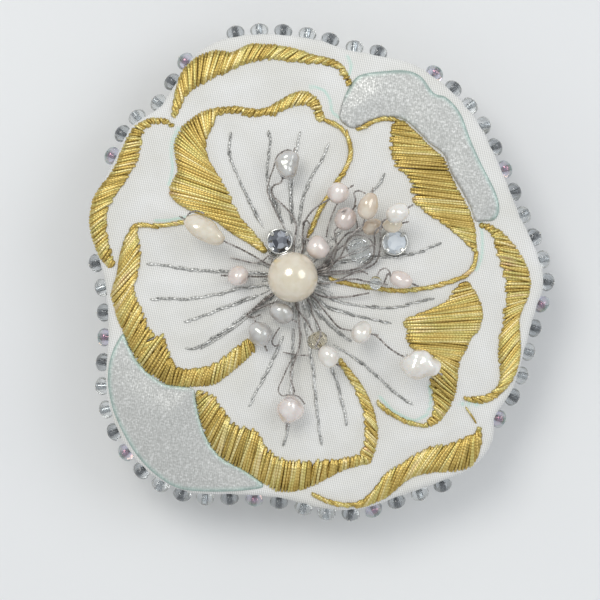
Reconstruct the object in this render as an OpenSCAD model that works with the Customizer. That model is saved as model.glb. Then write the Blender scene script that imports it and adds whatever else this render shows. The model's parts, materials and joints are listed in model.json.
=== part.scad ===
// Embroidered flower hair clip: a padded fabric flower with satin-stitched petals, a rim of glass
// beads and a spray of pearls on wires, carried by a sprung steel alligator clip.
// Millimetres. +Z is the way the flower faces, +Y is its top petal, and the clip lies along X.
// The origin is at the middle of the footprint, on the surface that the clip's tail stands on.

/* [Flower] */
// Width of the fabric flower across its widest petals
flower_w = 74; // [62:0.5:90]
// Height of the fabric's side at the rim, above the turned hem
rim_h = 1.6; // [1.2:0.1:3]
// How far the padded middle stands above the rim
dome_rise = 2.8; // [1.5:0.1:4.5]
// Thickness of the woven face fabric
fabric_t = 0.4; // [0.3:0.05:0.6]
// Width of the hem that is turned under
hem_w = 5; // [4:0.1:7]
// Thickness of the stiffening card
stiffener_t = 0.8; // [0.5:0.1:1.2]
// Thickness of the felt backing
backing_t = 0.8; // [0.6:0.1:1.4]
// Space between the backing and the beads that tuck under the edge
backing_gap = 0.5; // [0.3:0.1:1.5]

/* [Embroidery] */
// Height of the gold satin stitch above the fabric
satin_t = 0.45; // [0.3:0.05:0.5]
// Width of the thin gold outline stitch
rope_w = 0.75; // [0.5:0.05:0.9]
// Width of the silver vein stitch
vein_w = 0.34; // [0.25:0.01:0.45]
// Height of the silver vein stitch above the fabric
vein_t = 0.28; // [0.2:0.02:0.36]
// Thickness of the silver cloth patches
patch_t = 0.14; // [0.1:0.02:0.2]

/* [Edge beads] */
// Diameter of a glass edge bead
bead_d = 3; // [2.2:0.1:3.5]
// Length of a bead along its hole
bead_l = 2.2; // [1.6:0.1:2.6]
// Diameter of a bead's hole
bead_hole_d = 0.9; // [0.6:0.05:1.1]
// Space from one bead to the next along the rim
bead_space = 0.9; // [0.7:0.05:2.5]
// Diameter of the thread that sews the beads on
bead_thread_d = 0.3; // [0.2:0.05:0.4]

/* [Pearl spray] */
// Diameter of the large pearl in the middle
centre_pearl_d = 8; // [6:0.5:9]
// Diameter of the wire that carries the small pearls
wire_d = 0.36; // [0.28:0.02:0.45]
// Diameter of the hole drilled through each small pearl
pearl_hole_d = 0.8; // [0.6:0.05:0.9]
// Diameter of a faceted stone
stone_d = 3.7; // [3:0.1:4]

/* [Clip] */
// Length of the flat upper jaw
clip_l = 58; // [48:1:66]
// Width of the upper jaw over its ears
jaw_w = 8; // [7:0.1:10]
// Thickness of the steel strip
sheet_t = 0.6; // [0.45:0.05:0.7]
// Distance from the hinge pin to the tail end of the upper jaw
tail_reach = 17; // [15:0.5:20]
// Open height between the two jaws in front of the spring
jaw_gap = 4.6; // [4.5:0.1:5.4]
// Angle of the lever below the upper jaw
lever_angle = 25; // [23:1:30]
// Diameter of the hinge pin
pin_d = 1.6; // [1.2:0.1:1.8]
// Diameter of the spring wire
spring_wire_d = 0.6; // [0.45:0.05:0.65]
// Number of turns in the spring
spring_turns = 4; // [3:1:5]
// Length of the felt patch along the clip
patch_l = 12; // [8:1:14]

/* [Hidden] */
outline_steps = 3;                     // polygon points for each point of the petal outline
rail_steps = 3;                        // polygon points for each rung of a satin column
design_w = 74;                         // width that the petal and stitch points are drawn for
k = flower_w / design_w;               // scale of everything that is drawn on the fabric
drawn_middle = [0.46, 0.08];           // middle of the flower and its beads, as drawn
fit = 0.05;                            // gap between pieces that only touch
turn = 360;

// ---- clip heights, measured up from the surface the lever's end stands on
ear_front = 4;                         // where the lower jaw leaves the hinge, either side of the pin
jaw_below_pin = jaw_gap * 0.48;        // from the pin down to the lower jaw's upper face
jaw_above_pin = jaw_gap - jaw_below_pin;
lever_l = (tail_reach - ear_front) / cos(lever_angle);
pin_z = jaw_below_pin + lever_l * sin(lever_angle) + sheet_t * cos(lever_angle);
upper_z = pin_z + jaw_above_pin;       // underside of the upper jaw
back_z = upper_z + sheet_t;            // underside of the backing
pin_x = clip_l / 2 - tail_reach;

// ---- the petal outline of the fabric, anticlockwise from the top
OUTLINE = [
    [0, 37.4], [-8, 38.4], [-15, 37.6], [-20, 34.8], [-23, 30.4], [-25.6, 26.6], [-30, 23.6],
    [-32.4, 19], [-34.4, 15], [-36.6, 11.4], [-36.8, 7], [-35.4, 2.4], [-34.2, -2.5], [-33.8, -10],
    [-34.2, -17.5], [-33.2, -23], [-30.6, -28.4], [-26.4, -32.8], [-20.5, -35.4], [-13, -35.7],
    [-6, -36.3], [1, -38], [7, -38], [13, -36], [19.5, -33.7], [25.2, -31], [28, -27],
    [28.5, -23], [31.2, -18.8], [33, -13], [34.6, -7], [36.2, -1.5], [34.8, 4], [32.4, 9],
    [30.2, 14.5], [27.8, 20], [24.8, 25.3], [20.4, 30], [15.2, 33.4], [9, 35], [4, 36]
];

// ---- flower heights
hem_z = back_z + backing_t;
stiffener_z = hem_z + fabric_t;
padding_z = stiffener_z + stiffener_t;
rim_z = stiffener_z + rim_h;
dome_top_z = rim_z + dome_rise;
reach = max([for (q = OUTLINE) norm(k * (q - drawn_middle))]);
dome_r = (pow(reach, 2) + pow(dome_rise, 2)) / (2 * dome_rise);
dome_centre_z = dome_top_z - dome_r;

// ---- gold satin columns: each rung is one stitch, from [x, y] inside the petal to [x, y] outside
TOP_OUTER = [
    [-22.9, 24.6, -23.5, 25.2], [-22.2, 26.2, -22.9, 28.5], [-21.2, 28.2, -21.8, 32.2],
    [-19.6, 29.6, -19.4, 34.6], [-17.6, 30.6, -16.4, 35.6], [-15.2, 31.7, -13.6, 35.4],
    [-12.6, 32.9, -10.8, 36.6], [-9.6, 33.9, -7.6, 36.5], [-6.4, 34, -4, 35.9],
    [-3, 33.6, -0.8, 34.8], [0.8, 33.3, 2.4, 34], [2.9, 32.5, 4.2, 32.8], [4.5, 29.6, 5.4, 30.4]
];
LEFT_OUTER = [
    [-23.1, 23, -23.4, 23.7], [-24.4, 23.8, -24.6, 24.6], [-26.4, 23.7, -27.4, 24.6],
    [-28, 22.4, -29.8, 23], [-28.3, 20.6, -31.4, 20], [-28.7, 18.6, -32.2, 18],
    [-29.8, 16.3, -33.6, 15.4], [-31.5, 13.8, -35.8, 12.4], [-33.2, 11.2, -36.6, 9.4],
    [-33.9, 8.6, -36.5, 6.4], [-33.7, 5.8, -35.6, 3.6], [-33.1, 3.4, -34.5, 1.6],
    [-32.7, 1.8, -33.4, 0.6]
];
RIGHT_OUTER = [
    [25.8, 7.2, 25.8, 7.9], [26.6, 7, 27.4, 7.7], [27.6, 6, 29.4, 6.4], [28.2, 4, 31.6, 4],
    [28.8, 1.8, 33.2, 1.4], [29.4, -0.6, 33.9, -0.8], [29.8, -3.2, 33.8, -3.2],
    [29.6, -6.2, 32.8, -5.4], [29.2, -8.8, 32.1, -7.2], [28.7, -12, 32.2, -9.6],
    [28.9, -15, 32.3, -12.8], [29, -17.4, 31.4, -16.4], [28, -18.9, 29.2, -19.4],
    [25.4, -19.9, 26.4, -20.9], [23.2, -19.8, 23.4, -20.4]
];
LOWER_OUTER = [
    [25.4, -24.7, 25.9, -24.8], [25.2, -25.6, 25.8, -28.2], [24.2, -26.1, 24.4, -31.1],
    [22.6, -26.7, 21.6, -31.9], [20.4, -27.4, 18.8, -32], [17.6, -28, 15.8, -32.5],
    [15.2, -29.3, 13.8, -33.4], [13, -30.6, 12, -35], [11, -31.8, 10.4, -36.2],
    [9.9, -33.6, 8.6, -37], [8.4, -35.4, 6.8, -37.6], [6.6, -36.9, 5.6, -37.6]
];
LOWER_OUTER_ROPE = [[6.9, -36.9], [4.6, -37.2], [2, -36.8], [0.2, -36], [-1.2, -35.4]];
LOWER_OUTER_THREAD = [[25.3, -24.2], [24.4, -22.8], [23.4, -21.4]];
TOP_INNER = [
    [-8, 3.4, -9, 3.2], [-8.8, 4.4, -11.2, 4.8], [-10.2, 6.2, -14, 6.4], [-12, 8.2, -17, 8.6],
    [-13.2, 10.2, -21.4, 10.4], [-14.2, 12.4, -23.6, 12.2], [-15.2, 14.2, -23.7, 14],
    [-16.4, 16, -22.6, 16.2], [-17.4, 17.6, -22.9, 18.2], [-17.9, 19, -23.1, 20.2],
    [-18, 20.2, -22.6, 22.2], [-17.8, 21.4, -21.4, 23.8], [-17.4, 22.6, -19.6, 25.2],
    [-16.8, 23.8, -17.8, 26], [-16.2, 25, -16.2, 26.4]
];
TOP_INNER_BORDER = [
    [-16.6, 25, -16.2, 26.4], [-14, 25.5, -13, 26.5], [-11.5, 24.9, -10.5, 26.2],
    [-9.5, 24.9, -8.6, 26.2], [-7.2, 25.1, -6.2, 27.4], [-5, 26.2, -3.6, 28.8],
    [-3.2, 26.6, -1.6, 28.9], [-1.4, 26.6, 0.2, 27.4], [-0.8, 25.4, 0.7, 25.8],
    [0, 24, 1.2, 24.7]
];
TOP_INNER_ROPE = [
    [0.6, 24.4], [2.6, 23.7], [4.2, 22.5], [5, 20.6], [5.1, 18.6], [4.2, 16.3], [3, 14.4],
    [1.2, 11.6], [0, 9.6], [-0.8, 7.6], [-1.8, 5.4]
];
RIGHT_INNER = [
    [12, 24, 13.6, 24.2], [11.4, 22.4, 16.2, 21.8], [11.2, 20.6, 18, 20], [11.6, 18.6, 20, 18.2],
    [12.6, 16.6, 21, 16], [14.4, 15.2, 21.8, 14.2], [14.6, 13.4, 22.8, 12.4],
    [15, 11.4, 23.8, 10.6], [17, 9.6, 24.6, 8.6], [19.6, 7.9, 25, 7], [22, 6.2, 25.2, 5.4],
    [24, 4.4, 25.3, 4], [24.7, 3.2, 25.4, 3]
];
RIGHT_INNER_TOP_ROPE = [[6, 22.6], [7.6, 23.4], [9.6, 24.4], [11.5, 24.6], [13.2, 24.1]];
RIGHT_INNER_ROPE = [
    [25, 3.4], [25, 1.6], [24.3, 0.2], [23, -0.7], [21, -1.5], [18, -2.3], [15, -2.8],
    [12, -2.9], [9.5, -2.6], [7.5, -2.3], [5, -1.9], [3, -1.4], [1.4, -1]
];
LOWER_RIGHT_INNER = [
    [22.8, -1.9, 24, -1.6], [21.4, -3, 24.9, -2.8], [19.9, -5, 25.8, -4.6],
    [16.6, -6.4, 26.2, -6], [13.6, -7.7, 26.2, -7.4], [13.9, -9.4, 25.7, -9.2],
    [14.1, -11, 24.4, -10.6], [14.8, -12, 23.8, -12], [18, -12.8, 22.9, -13.6],
    [18.6, -14.6, 22.4, -15.4], [17.8, -16.6, 22.2, -17.4], [17.9, -18.4, 21.9, -19.4],
    [18.3, -20.4, 21.2, -21.2], [18.2, -22.2, 20.2, -22.8], [17.4, -23.6, 18.8, -24.2],
    [16.6, -24, 17.2, -24.8]
];
LOWER_RIGHT_ROPE = [[17, -24.4], [15.5, -24.3], [13.5, -23.6], [11.5, -22.5], [10, -21.4], [9.2, -20.5]];
BOTTOM_INNER = [
    [8, -29, 8.4, -30.6], [5.6, -29.2, 5.4, -31.2], [3, -29.7, 2.6, -32.3], [0, -30, -0.6, -34],
    [-2.8, -30, -3.4, -35], [-5.4, -29.9, -6.4, -35.1], [-7.2, -29, -8.6, -34],
    [-8.6, -27.4, -10, -33], [-9.7, -25.4, -11.6, -31.9], [-11.6, -24.7, -13.6, -30.9],
    [-13.4, -24, -15.4, -29.8], [-14.6, -22.8, -17, -28.2], [-15.4, -21.5, -18, -26.2],
    [-16.2, -20.4, -18.8, -24.2], [-17, -19.5, -19.3, -22], [-18, -19, -19.6, -20.2],
    [-18.8, -18.9, -19.6, -19.3]
];
BOTTOM_INNER_SIDE = [
    [3, -14, 3.6, -13.6], [4.6, -16.6, 5.6, -16.2], [5.9, -18.8, 7.4, -18.8],
    [6.7, -20.8, 8.5, -21.2], [7.2, -23, 9.2, -23.6], [7.3, -25.2, 9.5, -26],
    [7.1, -27.4, 9.1, -28.4], [6.4, -28.9, 8.5, -30.2]
];
LEFT_INNER = [
    [-29.1, 7.8, -30, 6.8], [-28.9, 6.4, -31.4, 3.8], [-28.5, 4.4, -31.9, 1.6],
    [-28.4, 2.2, -32.2, -0.4], [-28.8, 0.2, -32.8, -2.4], [-29.4, -1.8, -33.2, -4],
    [-29.2, -3.6, -32.6, -5.8], [-28.4, -5.4, -32.2, -7.4], [-27.7, -7.4, -31.4, -9.2],
    [-26.4, -9.4, -30.6, -11], [-24.7, -10.4, -29.9, -12.6], [-24, -12, -29, -14.2],
    [-23.4, -13.6, -27.6, -15.9], [-22.8, -14.9, -25.8, -17], [-21, -15.2, -24, -18.1],
    [-18.6, -15.2, -21.6, -18.3], [-16.8, -14.6, -19, -18.2], [-15, -13.4, -16.4, -17.8],
    [-13.2, -12, -14, -16], [-11.8, -11, -11.8, -14.2], [-10.8, -10.4, -10, -12.6]
];
LEFT_INNER_ROPE = [[-20, 8.2], [-22, 7.9], [-24, 7.6], [-25.5, 7.4], [-27.2, 7.6], [-28.4, 8]];

// ---- silver cloth patches
UPPER_PATCH = [
    [5.6, 30.6], [7, 31.6], [10.5, 32.1], [14, 32.2], [16.4, 31.2], [18.4, 28.6], [20.4, 27.9],
    [22.6, 25.4], [24.2, 21.2], [26, 17.2], [28.2, 12.8], [28.8, 10], [28, 8.4], [26.4, 8.2],
    [25, 8.2], [24.4, 10], [22.9, 12.9], [21.2, 15.8], [20, 18.8], [17.7, 20.6], [16, 22.4],
    [13.6, 24.4], [11, 24.8], [8.6, 24.3], [6.6, 23.4], [5.2, 23], [3.4, 24.4], [3.6, 26.4], [4.4, 28.6]
];
LOWER_PATCH = [
    [-31.3, -9.8], [-32.8, -12.4], [-33.5, -15], [-33.6, -18], [-32.8, -22], [-30.8, -26.4],
    [-28.4, -30], [-25.4, -32.8], [-22, -34.6], [-17, -35], [-12, -34.8], [-8.8, -34.2],
    [-10.2, -32.8], [-12.6, -31.2], [-15, -30], [-17, -28], [-18.2, -25.8], [-19, -23.4],
    [-19.6, -20.6], [-20, -18.6], [-22, -18.2], [-24.6, -17.8], [-27, -16.2], [-29, -14.2],
    [-30.2, -12], [-30.8, -10.6]
];

// ---- silver veins of the five inner petals
TOP_VEINS = [
    [[-8.8, 7.2], [-9.9, 9], [-11.8, 13], [-13, 15.6], [-14.1, 18], [-14.2, 20], [-14, 22.6]],
    [[-5.7, 7.6], [-6.9, 10.4], [-8, 13.6], [-8.2, 17], [-7.8, 20], [-7.9, 22.8]],
    [[-4.2, 7.6], [-4.5, 11], [-4.5, 15], [-3.6, 19], [-3, 22.6]],
    [[-3, 7.4], [-2.7, 11], [-1.2, 15], [0.6, 18], [1.7, 20.8]]
];
RIGHT_VEINS = [
    [[2.2, 5], [5, 8.6], [8.6, 13], [10, 14.4], [10.5, 16]],
    [[0.6, 1.4], [4, 1.6], [8.4, 2.2], [11, 2.4], [14, 2.7], [17, 3.6], [19.6, 4.9]]
];
LOWER_RIGHT_VEINS = [
    [[0.4, -3], [3, -4.6], [6, -5.2], [9.5, -5.6], [13, -5.4], [16.4, -4.6], [18.6, -4]],
    [[0.2, -4.6], [2, -5.9], [5, -6.6], [8, -7.3], [11.8, -8.2]],
    [[-0.6, -5.6], [1.4, -8], [3.4, -9.8], [5.4, -11]],
    [[2.4, -11.6], [5, -13.2], [7.4, -14.8], [10, -17.2], [13, -19.8], [15.2, -21.2]]
];
BOTTOM_VEINS = [
    [[-2.4, -7], [-1.4, -12], [-0.8, -16], [-0.5, -20], [0, -24], [0.6, -27.8]],
    [[-0.6, -7.6], [1, -12], [2.4, -16], [3.2, -18.6], [4, -21.6], [4.5, -24.6]],
    [[-4, -9], [-4.2, -14], [-4.4, -19], [-4.8, -24], [-5.6, -28]],
    [[-5.6, -10], [-7.2, -14], [-8.6, -16.6], [-10, -19], [-11.1, -21.6]]
];
LEFT_VEINS = [
    [[-9, -0.2], [-13, 0.1], [-18, 0.3], [-22, 0.7], [-25, 1.2], [-27.6, 1.3]],
    [[-9, -2.2], [-13, -2.6], [-16, -3.5], [-20, -4.2], [-24, -4.2], [-27, -4.4]],
    [[-9.4, -3.6], [-13, -5], [-16, -6], [-18.6, -7], [-21.6, -8]],
    [[-8.6, -4.9], [-11.4, -6.6], [-14, -8.6], [-17, -10.6], [-19.4, -12], [-21.4, -12.3]]
];

// ---- the pearl spray is real-size jewellery set around the flower's middle
spray_centre = k * ([-4.1, -0.8] - drawn_middle);
spray_lift = satin_t + 0.15;           // lowest gap under a pearl, so that it clears the stitching
drawn_centre_d = 8;                    // size of the middle pearl that the spray is drawn around
function spread(p) = spray_centre + unit(p) * (norm(p) + (centre_pearl_d - drawn_centre_d) / 2);
root_reach = centre_pearl_d * 0.32;    // the wires leave the fabric under the middle pearl
// name, [x, y] from the middle, gap under it, diameter, length along its hole, azimuth of the hole, colour
PEARLS = [
    ["pearl_grey_top", [-0.8, 17.6], 1.6, 3.2, 4.4, 68, "lightgray"],
    ["pearl_cream_left", [-13.9, 7.4], 3, 3.6, 7.2, 151, "antiquewhite"],
    ["pearl_pink_left", [-8.8, 0.2], 0.1, 3.2, 3.4, 178, "mistyrose"],
    ["pearl_blush_middle", [4, 4.7], 0.4, 3.4, 3.8, 145, "mistyrose"],
    ["pearl_silver_upper", [-1.8, -5.7], 0.1, 3.4, 3.8, 330, "gainsboro"],
    ["pearl_silver_lower", [-5.2, -8.9], 0.2, 3.6, 4.2, 292, "gainsboro"],
    ["pearl_rose_cluster", [7.3, 13.2], 2.2, 3.2, 3.4, 30, "mistyrose"],
    ["pearl_mauve_cluster", [8.2, 9.2], 2.4, 3.5, 3.7, 50, "thistle"],
    ["pearl_peach_cluster", [11.8, 11], 4, 3.2, 4.5, 75, "bisque"],
    ["pearl_shade_cluster", [12.5, 8], 0.8, 2.6, 3.4, 20, "burlywood"],
    ["pearl_lemon_cluster", [15.7, 8.2], 2.8, 2.6, 3.4, 12, "blanchedalmond"],
    ["pearl_ivory_cluster", [16.4, 10], 5.2, 2.8, 3.8, 28, "ivory"],
    ["pearl_pink_right", [17.3, -0.4], 2, 2.8, 3.7, 338, "mistyrose"],
    ["pearl_chalk_right", [10.9, -8.7], 1.8, 3.9, 3.4, 350, "seashell"],
    ["pearl_white_lower", [5.5, -12.5], 3, 3.2, 3.6, 320, "white"],
    ["pearl_white_baroque", [20, -13.7], 3.4, 4.4, 6, 335, "white"],
    ["pearl_cream_bottom", [-0.4, -20.9], 1, 4, 4.7, 258, "linen"]
];
CRYSTALS = [
    ["crystal_upper_right", [10.5, 4.2], 0.2, 4.1, 3.6, 22, "lightcyan"],
    ["crystal_lower", [3.9, -10], 0.1, 3.4, 2.8, 300, "lightyellow"],
    ["crystal_small_right", [13.1, -0.9], 0.8, 2.3, 2, 352, "lightcyan"]
];
STRUNG = concat(PEARLS, CRYSTALS);
// name of the wire node, and its wires: the piece it holds, and the way there from the middle
// as [x, y] and height of the wire above the stitching
SPRAYS = [
    ["wires_top", [
        ["pearl_grey_top", [[0.2, 5.4, 0], [0.5, 8.4, 0], [-0.9, 10.8, 0.2], [-3.2, 13, 0.9], [-3.1, 14.4, 2.2]]]
    ]],
    ["wires_upper_right", [
        ["pearl_rose_cluster", [[1.6, 4.6, 0], [1.5, 6.8, 0], [2, 9, 0.8], [3.4, 10.8, 2.4]]],
        ["pearl_mauve_cluster", [[5.8, 2.2, 0], [6.9, 4.2, 0.8], [6.8, 5.8, 2.4]]],
        ["pearl_peach_cluster", [[5.6, 1.6, 0], [7.6, 3.4, 0.9], [8.7, 6, 3.4], [9.9, 7.2, 5]]],
        ["pearl_shade_cluster", [[4.9, 2, 0], [6.9, 4.9, 0], [8.6, 6.9, 0.8]]],
        ["pearl_lemon_cluster", [[6, 0.9, 0], [9.5, 1.2, 0], [12.4, 2.6, 0.2], [13, 5.2, 0.8], [12.9, 6.8, 3.1]]],
        ["pearl_ivory_cluster", [[6.4, 0.5, 0], [10, 0.9, 0.1], [13, 2.2, 0.2], [13.8, 4.4, 1.6], [13.8, 6.2, 4.4], [13.7, 7.6, 5.9]]],
        ["crystal_upper_right", [[5.4, 1.4, 0], [7.2, 2.8, 1.4]]],
        ["pearl_blush_middle", [[5.4, 1, 0.2], [6.3, 2.2, 1.1]]]
    ]],
    ["wires_right", [
        ["crystal_small_right", [[4.8, -1, 0], [8.1, -0.4, 0.6], [10, -0.3, 1.4]]],
        ["pearl_pink_right", [[14.4, -1.1, 1.7], [14.6, -0.5, 2.3]]],
        ["bare", [[4.6, -3, 0], [8.5, -3.1, 0.1], [12.1, -2.5, 0.8]]]
    ]],
    ["wires_lower", [
        ["pearl_silver_upper", [[-4, -3.4, 0], [-6, -5, 0.2]]],
        ["pearl_silver_lower", [[-4.6, -3.6, 0], [-7.2, -6, 0.4]]],
        ["crystal_lower", [[0.6, -4.8, 0], [1.3, -5.8, 0.3], [2.2, -7, 1]]],
        ["pearl_white_lower", [[2.8, -4.4, 0.1], [3.1, -5.8, 0.8], [3.9, -7.4, 2.6], [4.4, -9, 4.1]]],
        ["pearl_chalk_right", [[3.7, -3.6, 0.1], [4.8, -5, 0.5], [6.4, -7, 2], [7.4, -8, 3.1]]],
        ["pearl_white_baroque", [[12.9, -9.05, 3.6], [13.9, -9.9, 4], [15, -11, 4.6]]],
        ["pearl_cream_bottom", [[0.9, -4.6, 0], [1, -7.6, 0], [1.1, -10.6, 0.1], [0.4, -13, 0.8], [-0.4, -15.4, 1.8]]]
    ]],
    ["wires_left", [
        ["pearl_cream_left", [[-4.6, 2.4, 0], [-6.4, 3.5, 0.8], [-8.3, 4.5, 3]]],
        ["pearl_pink_left", [[-4.6, 0.1, 0], [-5.4, 0.1, 0.4]]]
    ]]
];
linked = ["pearl_pink_right", "pearl_white_baroque"];   // these carry on from the piece before
// name, [x, y] from the middle, colour
STONES = [
    ["stone_dark", [-2.1, 5.7], "slategray"],
    ["stone_opal", [16.2, 5.5], "lightsteelblue"]
];
setting_wall = 0.2;
setting_h = 1.1;

// ---- where the beads tuck under the fabric's bulging edge: ranges of azimuth
TUCKED = [[157.5, 173], [-55, -42], [64, 70.5], [112.5, 119.5]];
bead_gap = 0.2;                        // from the fabric's edge to a bead
bead_touch = 0.002;                    // least gap there, where the edge curves in towards a bead
bead_out = bead_gap + bead_l / 2;      // from the fabric's edge to a bead's middle
bead_z = hem_z - 0.7;                  // height of a bead in the open rim
tucked_in = bead_l / 2 + 0.2;          // how far inside the edge a tucked bead's middle lies
tucked_z = hem_z - bead_d / 2 - fit;

// ================= functions =================
function spline(a, b, c, d, t) =
    0.5 * (2 * b + (c - a) * t + (2 * a - 5 * b + 4 * c - d) * t * t
    + (3 * b - a - 3 * c + d) * t * t * t);

// a smooth closed curve through the points, with n points for each of them
function closed_curve(p, n) = [
    for (i = [0 : len(p) - 1], j = [0 : n - 1])
        spline(p[(i + len(p) - 1) % len(p)], p[i], p[(i + 1) % len(p)], p[(i + 2) % len(p)], j / n)
];

// a smooth open curve through the points
function open_curve(p, n) = concat(
    [for (i = [0 : len(p) - 2], j = [0 : n - 1])
        spline(p[max(i - 1, 0)], p[i], p[i + 1], p[min(i + 2, len(p) - 1)], j / n)],
    [p[len(p) - 1]]
);

function reversed(p) = [for (i = [len(p) - 1 : -1 : 0]) p[i]];
function unit(v) = v / norm(v);
function shrink(p, d) = [for (q = p) q * (1 - d / norm(q))];
function scaled(p) = [for (q = p) k * (q - drawn_middle)];

// direction along an open or closed line at its point i
function along(p, i, closed) =
    closed ? unit(p[(i + 1) % len(p)] - p[(i + len(p) - 1) % len(p)])
    : unit(p[min(i + 1, len(p) - 1)] - p[max(i - 1, 0)]);
function right_of(v) = [v[1], -v[0]];
function inset(p, d) = [for (i = [0 : len(p) - 1]) p[i] - d * right_of(along(p, i, true))];

// running length of a closed line at each of its points
function running(p, i = 0, sum = 0, done = []) =
    i > len(p) ? done
    : running(p, i + 1, sum + (i < len(p) ? norm(p[(i + 1) % len(p)] - p[i]) : 0), concat(done, [sum]));

// height of the padded surface over a point
function dome_z(q) = dome_centre_z + sqrt(dome_r * dome_r - q[0] * q[0] - q[1] * q[1]);

outline = closed_curve(scaled(OUTLINE), outline_steps);

// ---- bead places: [x, y, azimuth of the hole, tucked]
function on_range(a, r) = a > r[0] && a < r[1];
function is_tucked(q) = len([for (r = TUCKED) if (on_range(atan2(q[1], q[0]), r)) r]) > 0;
tucked = [for (q = outline) is_tucked(q)];
bead_line = [
    for (i = [0 : len(outline) - 1])
        outline[i] + (tucked[i] ? -tucked_in : bead_out) * right_of(along(outline, i, true))
];
bead_run = running(bead_line);
bead_count = floor(bead_run[len(bead_line)] / (bead_d + bead_space));
// half the length of a bead at a distance v from its hole's axis
function bead_side(v) =
    let (r = (bead_d - bead_hole_d) / 4, past = abs(v) - (bead_d / 2 - r))
    bead_l / 2 - r + sqrt(max(0, r * r - pow(max(0, past), 2)));
// how far a bead moves out so that its corners clear the fabric in a hollow of the outline
function bead_push(q, out) = max([0,
    for (i = [0 : len(outline) - 1], t = [0 : 0.1 : 0.9])
        let (
            e = outline[i] + (outline[(i + 1) % len(outline)] - outline[i]) * t - q,
            v = e * [-out[1], out[0]]
        )
        if (norm(e) < bead_d + bead_l && abs(v) < bead_d / 2) e * out + bead_side(v) + bead_touch
]);
// the bead at a running length, or nothing where the seam passes under the edge
function bead_place(s) =
    let (
        i = [for (j = [0 : len(bead_line) - 1]) if (bead_run[j] <= s && s < bead_run[j + 1]) j][0],
        j = (i + 1) % len(bead_line),
        q = bead_line[i] + (bead_line[j] - bead_line[i]) * (s - bead_run[i]) / (bead_run[i + 1] - bead_run[i]),
        out = right_of(unit(along(outline, i, true) + along(outline, j, true)))
    )
    tucked[i] != tucked[j] ? []
    : tucked[i] ? [[q[0], q[1], atan2(out[1], out[0]), true]]
    : let (p = q + out * bead_push(q, out)) [[p[0], p[1], atan2(out[1], out[0]), false]];
BEADS = [for (i = [0 : bead_count - 1]) each bead_place(bead_run[len(bead_line)] * (i + 0.5) / bead_count)];
// glass of bead i: 0 clear, 1 grey-lined, 2 iridescent
function bead_glass(i) = [0, 1, 0, 1, 2, 1, 0, 0, 1, 2, 1][i % 11];

// ---- strung pieces: middle point and direction of the hole
function place(p) =
    let (q = spread(p[1]))
    [q[0], q[1], dome_z(q) + spray_lift + p[2] + p[3] / 2];
function hole_way(p) = [cos(p[5]), sin(p[5]), 0];
function strung(name) = [for (p = STRUNG) if (p[0] == name) p][0];

// a wire: out from under the middle pearl, its way above the stitching, then straight through
// the hole of its piece, and a short tail
function way_points(path) = [
    for (h = path)
        let (q = spread([h[0], h[1]]))
        [q[0], q[1], dome_z(q) + spray_lift + wire_d / 2 + h[2]]
];
function root_point(first) =
    let (q = spray_centre + root_reach * unit([first[0], first[1]]))
    [q[0], q[1], dome_z(q) + wire_d / 2 + fit];
function is_linked(name) = len([for (n = linked) if (n == name) n]) > 0;
function wire_way(name, path) = concat(is_linked(name) ? [] : [root_point(path[0])], way_points(path));
function wire_line(name, path) =
    name == "bare" ? open_curve(wire_way(name, path), rail_steps)
    : let (
        p = strung(name),
        way = hole_way(p),
        mid = place(p),
        enter = mid - way * (p[4] / 2 + 0.7),
        leave = mid + way * (p[4] / 2 + 0.5)
    )
    concat(
        open_curve(concat(wire_way(name, path), [enter]), rail_steps),
        [leave, leave + way * 0.4 - [0, 0, 0.25]]
    );

// ================= shared shapes =================
// a plan drawn on the padded surface, from one height above it to another
module on_dome(low, high) {
    intersection() {
        translate([0, 0, hem_z]) linear_extrude(dome_top_z - hem_z + high + 1) children();
        translate([0, 0, dome_centre_z]) difference() {
            sphere(dome_r + high, $fn = 256);
            sphere(dome_r + low, $fn = 256);
        }
    }
}

// a column of satin stitch between its two rails
module satin(rungs) {
    inner = open_curve(scaled([for (r = rungs) [r[0], r[1]]]), rail_steps);
    outer = open_curve(scaled([for (r = rungs) [r[2], r[3]]]), rail_steps);
    polygon(concat(inner, reversed(outer)));
}

// a line of thread of one width
module rope(points, w) {
    line = open_curve(scaled(points), rail_steps);
    sides = [for (s = [1, -1]) [for (i = [0 : len(line) - 1]) line[i] + s * w / 2 * right_of(along(line, i, false))]];
    polygon(concat(sides[0], reversed(sides[1])));
}

module gold() {
    color("goldenrod") on_dome(patch_t + fit, patch_t + satin_t) children();
}

module veins(lines) {
    color("darkgray") on_dome(fit, vein_t) for (v = lines) rope(v, vein_w);
}

module silver_cloth(points) {
    color("silver") on_dome(fit / 2, patch_t) polygon(closed_curve(scaled(points), 2));
}

// a tube swept along points in space, closed at both ends; it never runs along the direction up
module tube(points, d, sides, up) {
    n = len(points);
    function way(i) = unit(points[min(i + 1, n - 1)] - points[max(i - 1, 0)]);
    function side(i) = unit(cross(way(i), up));
    rings = [for (i = [0 : n - 1], j = [0 : sides - 1])
        points[i] + d / 2 * (cos(turn * j / sides) * side(i) + sin(turn * j / sides) * cross(side(i), way(i)))];
    walls = [for (i = [0 : n - 2], j = [0 : sides - 1])
        [i * sides + j, i * sides + (j + 1) % sides, (i + 1) * sides + (j + 1) % sides, (i + 1) * sides + j]];
    ends = [[for (j = [sides - 1 : -1 : 0]) j], [for (j = [0 : sides - 1]) (n - 1) * sides + j]];
    polyhedron(rings, concat(walls, ends), convexity = 6);
}

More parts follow.
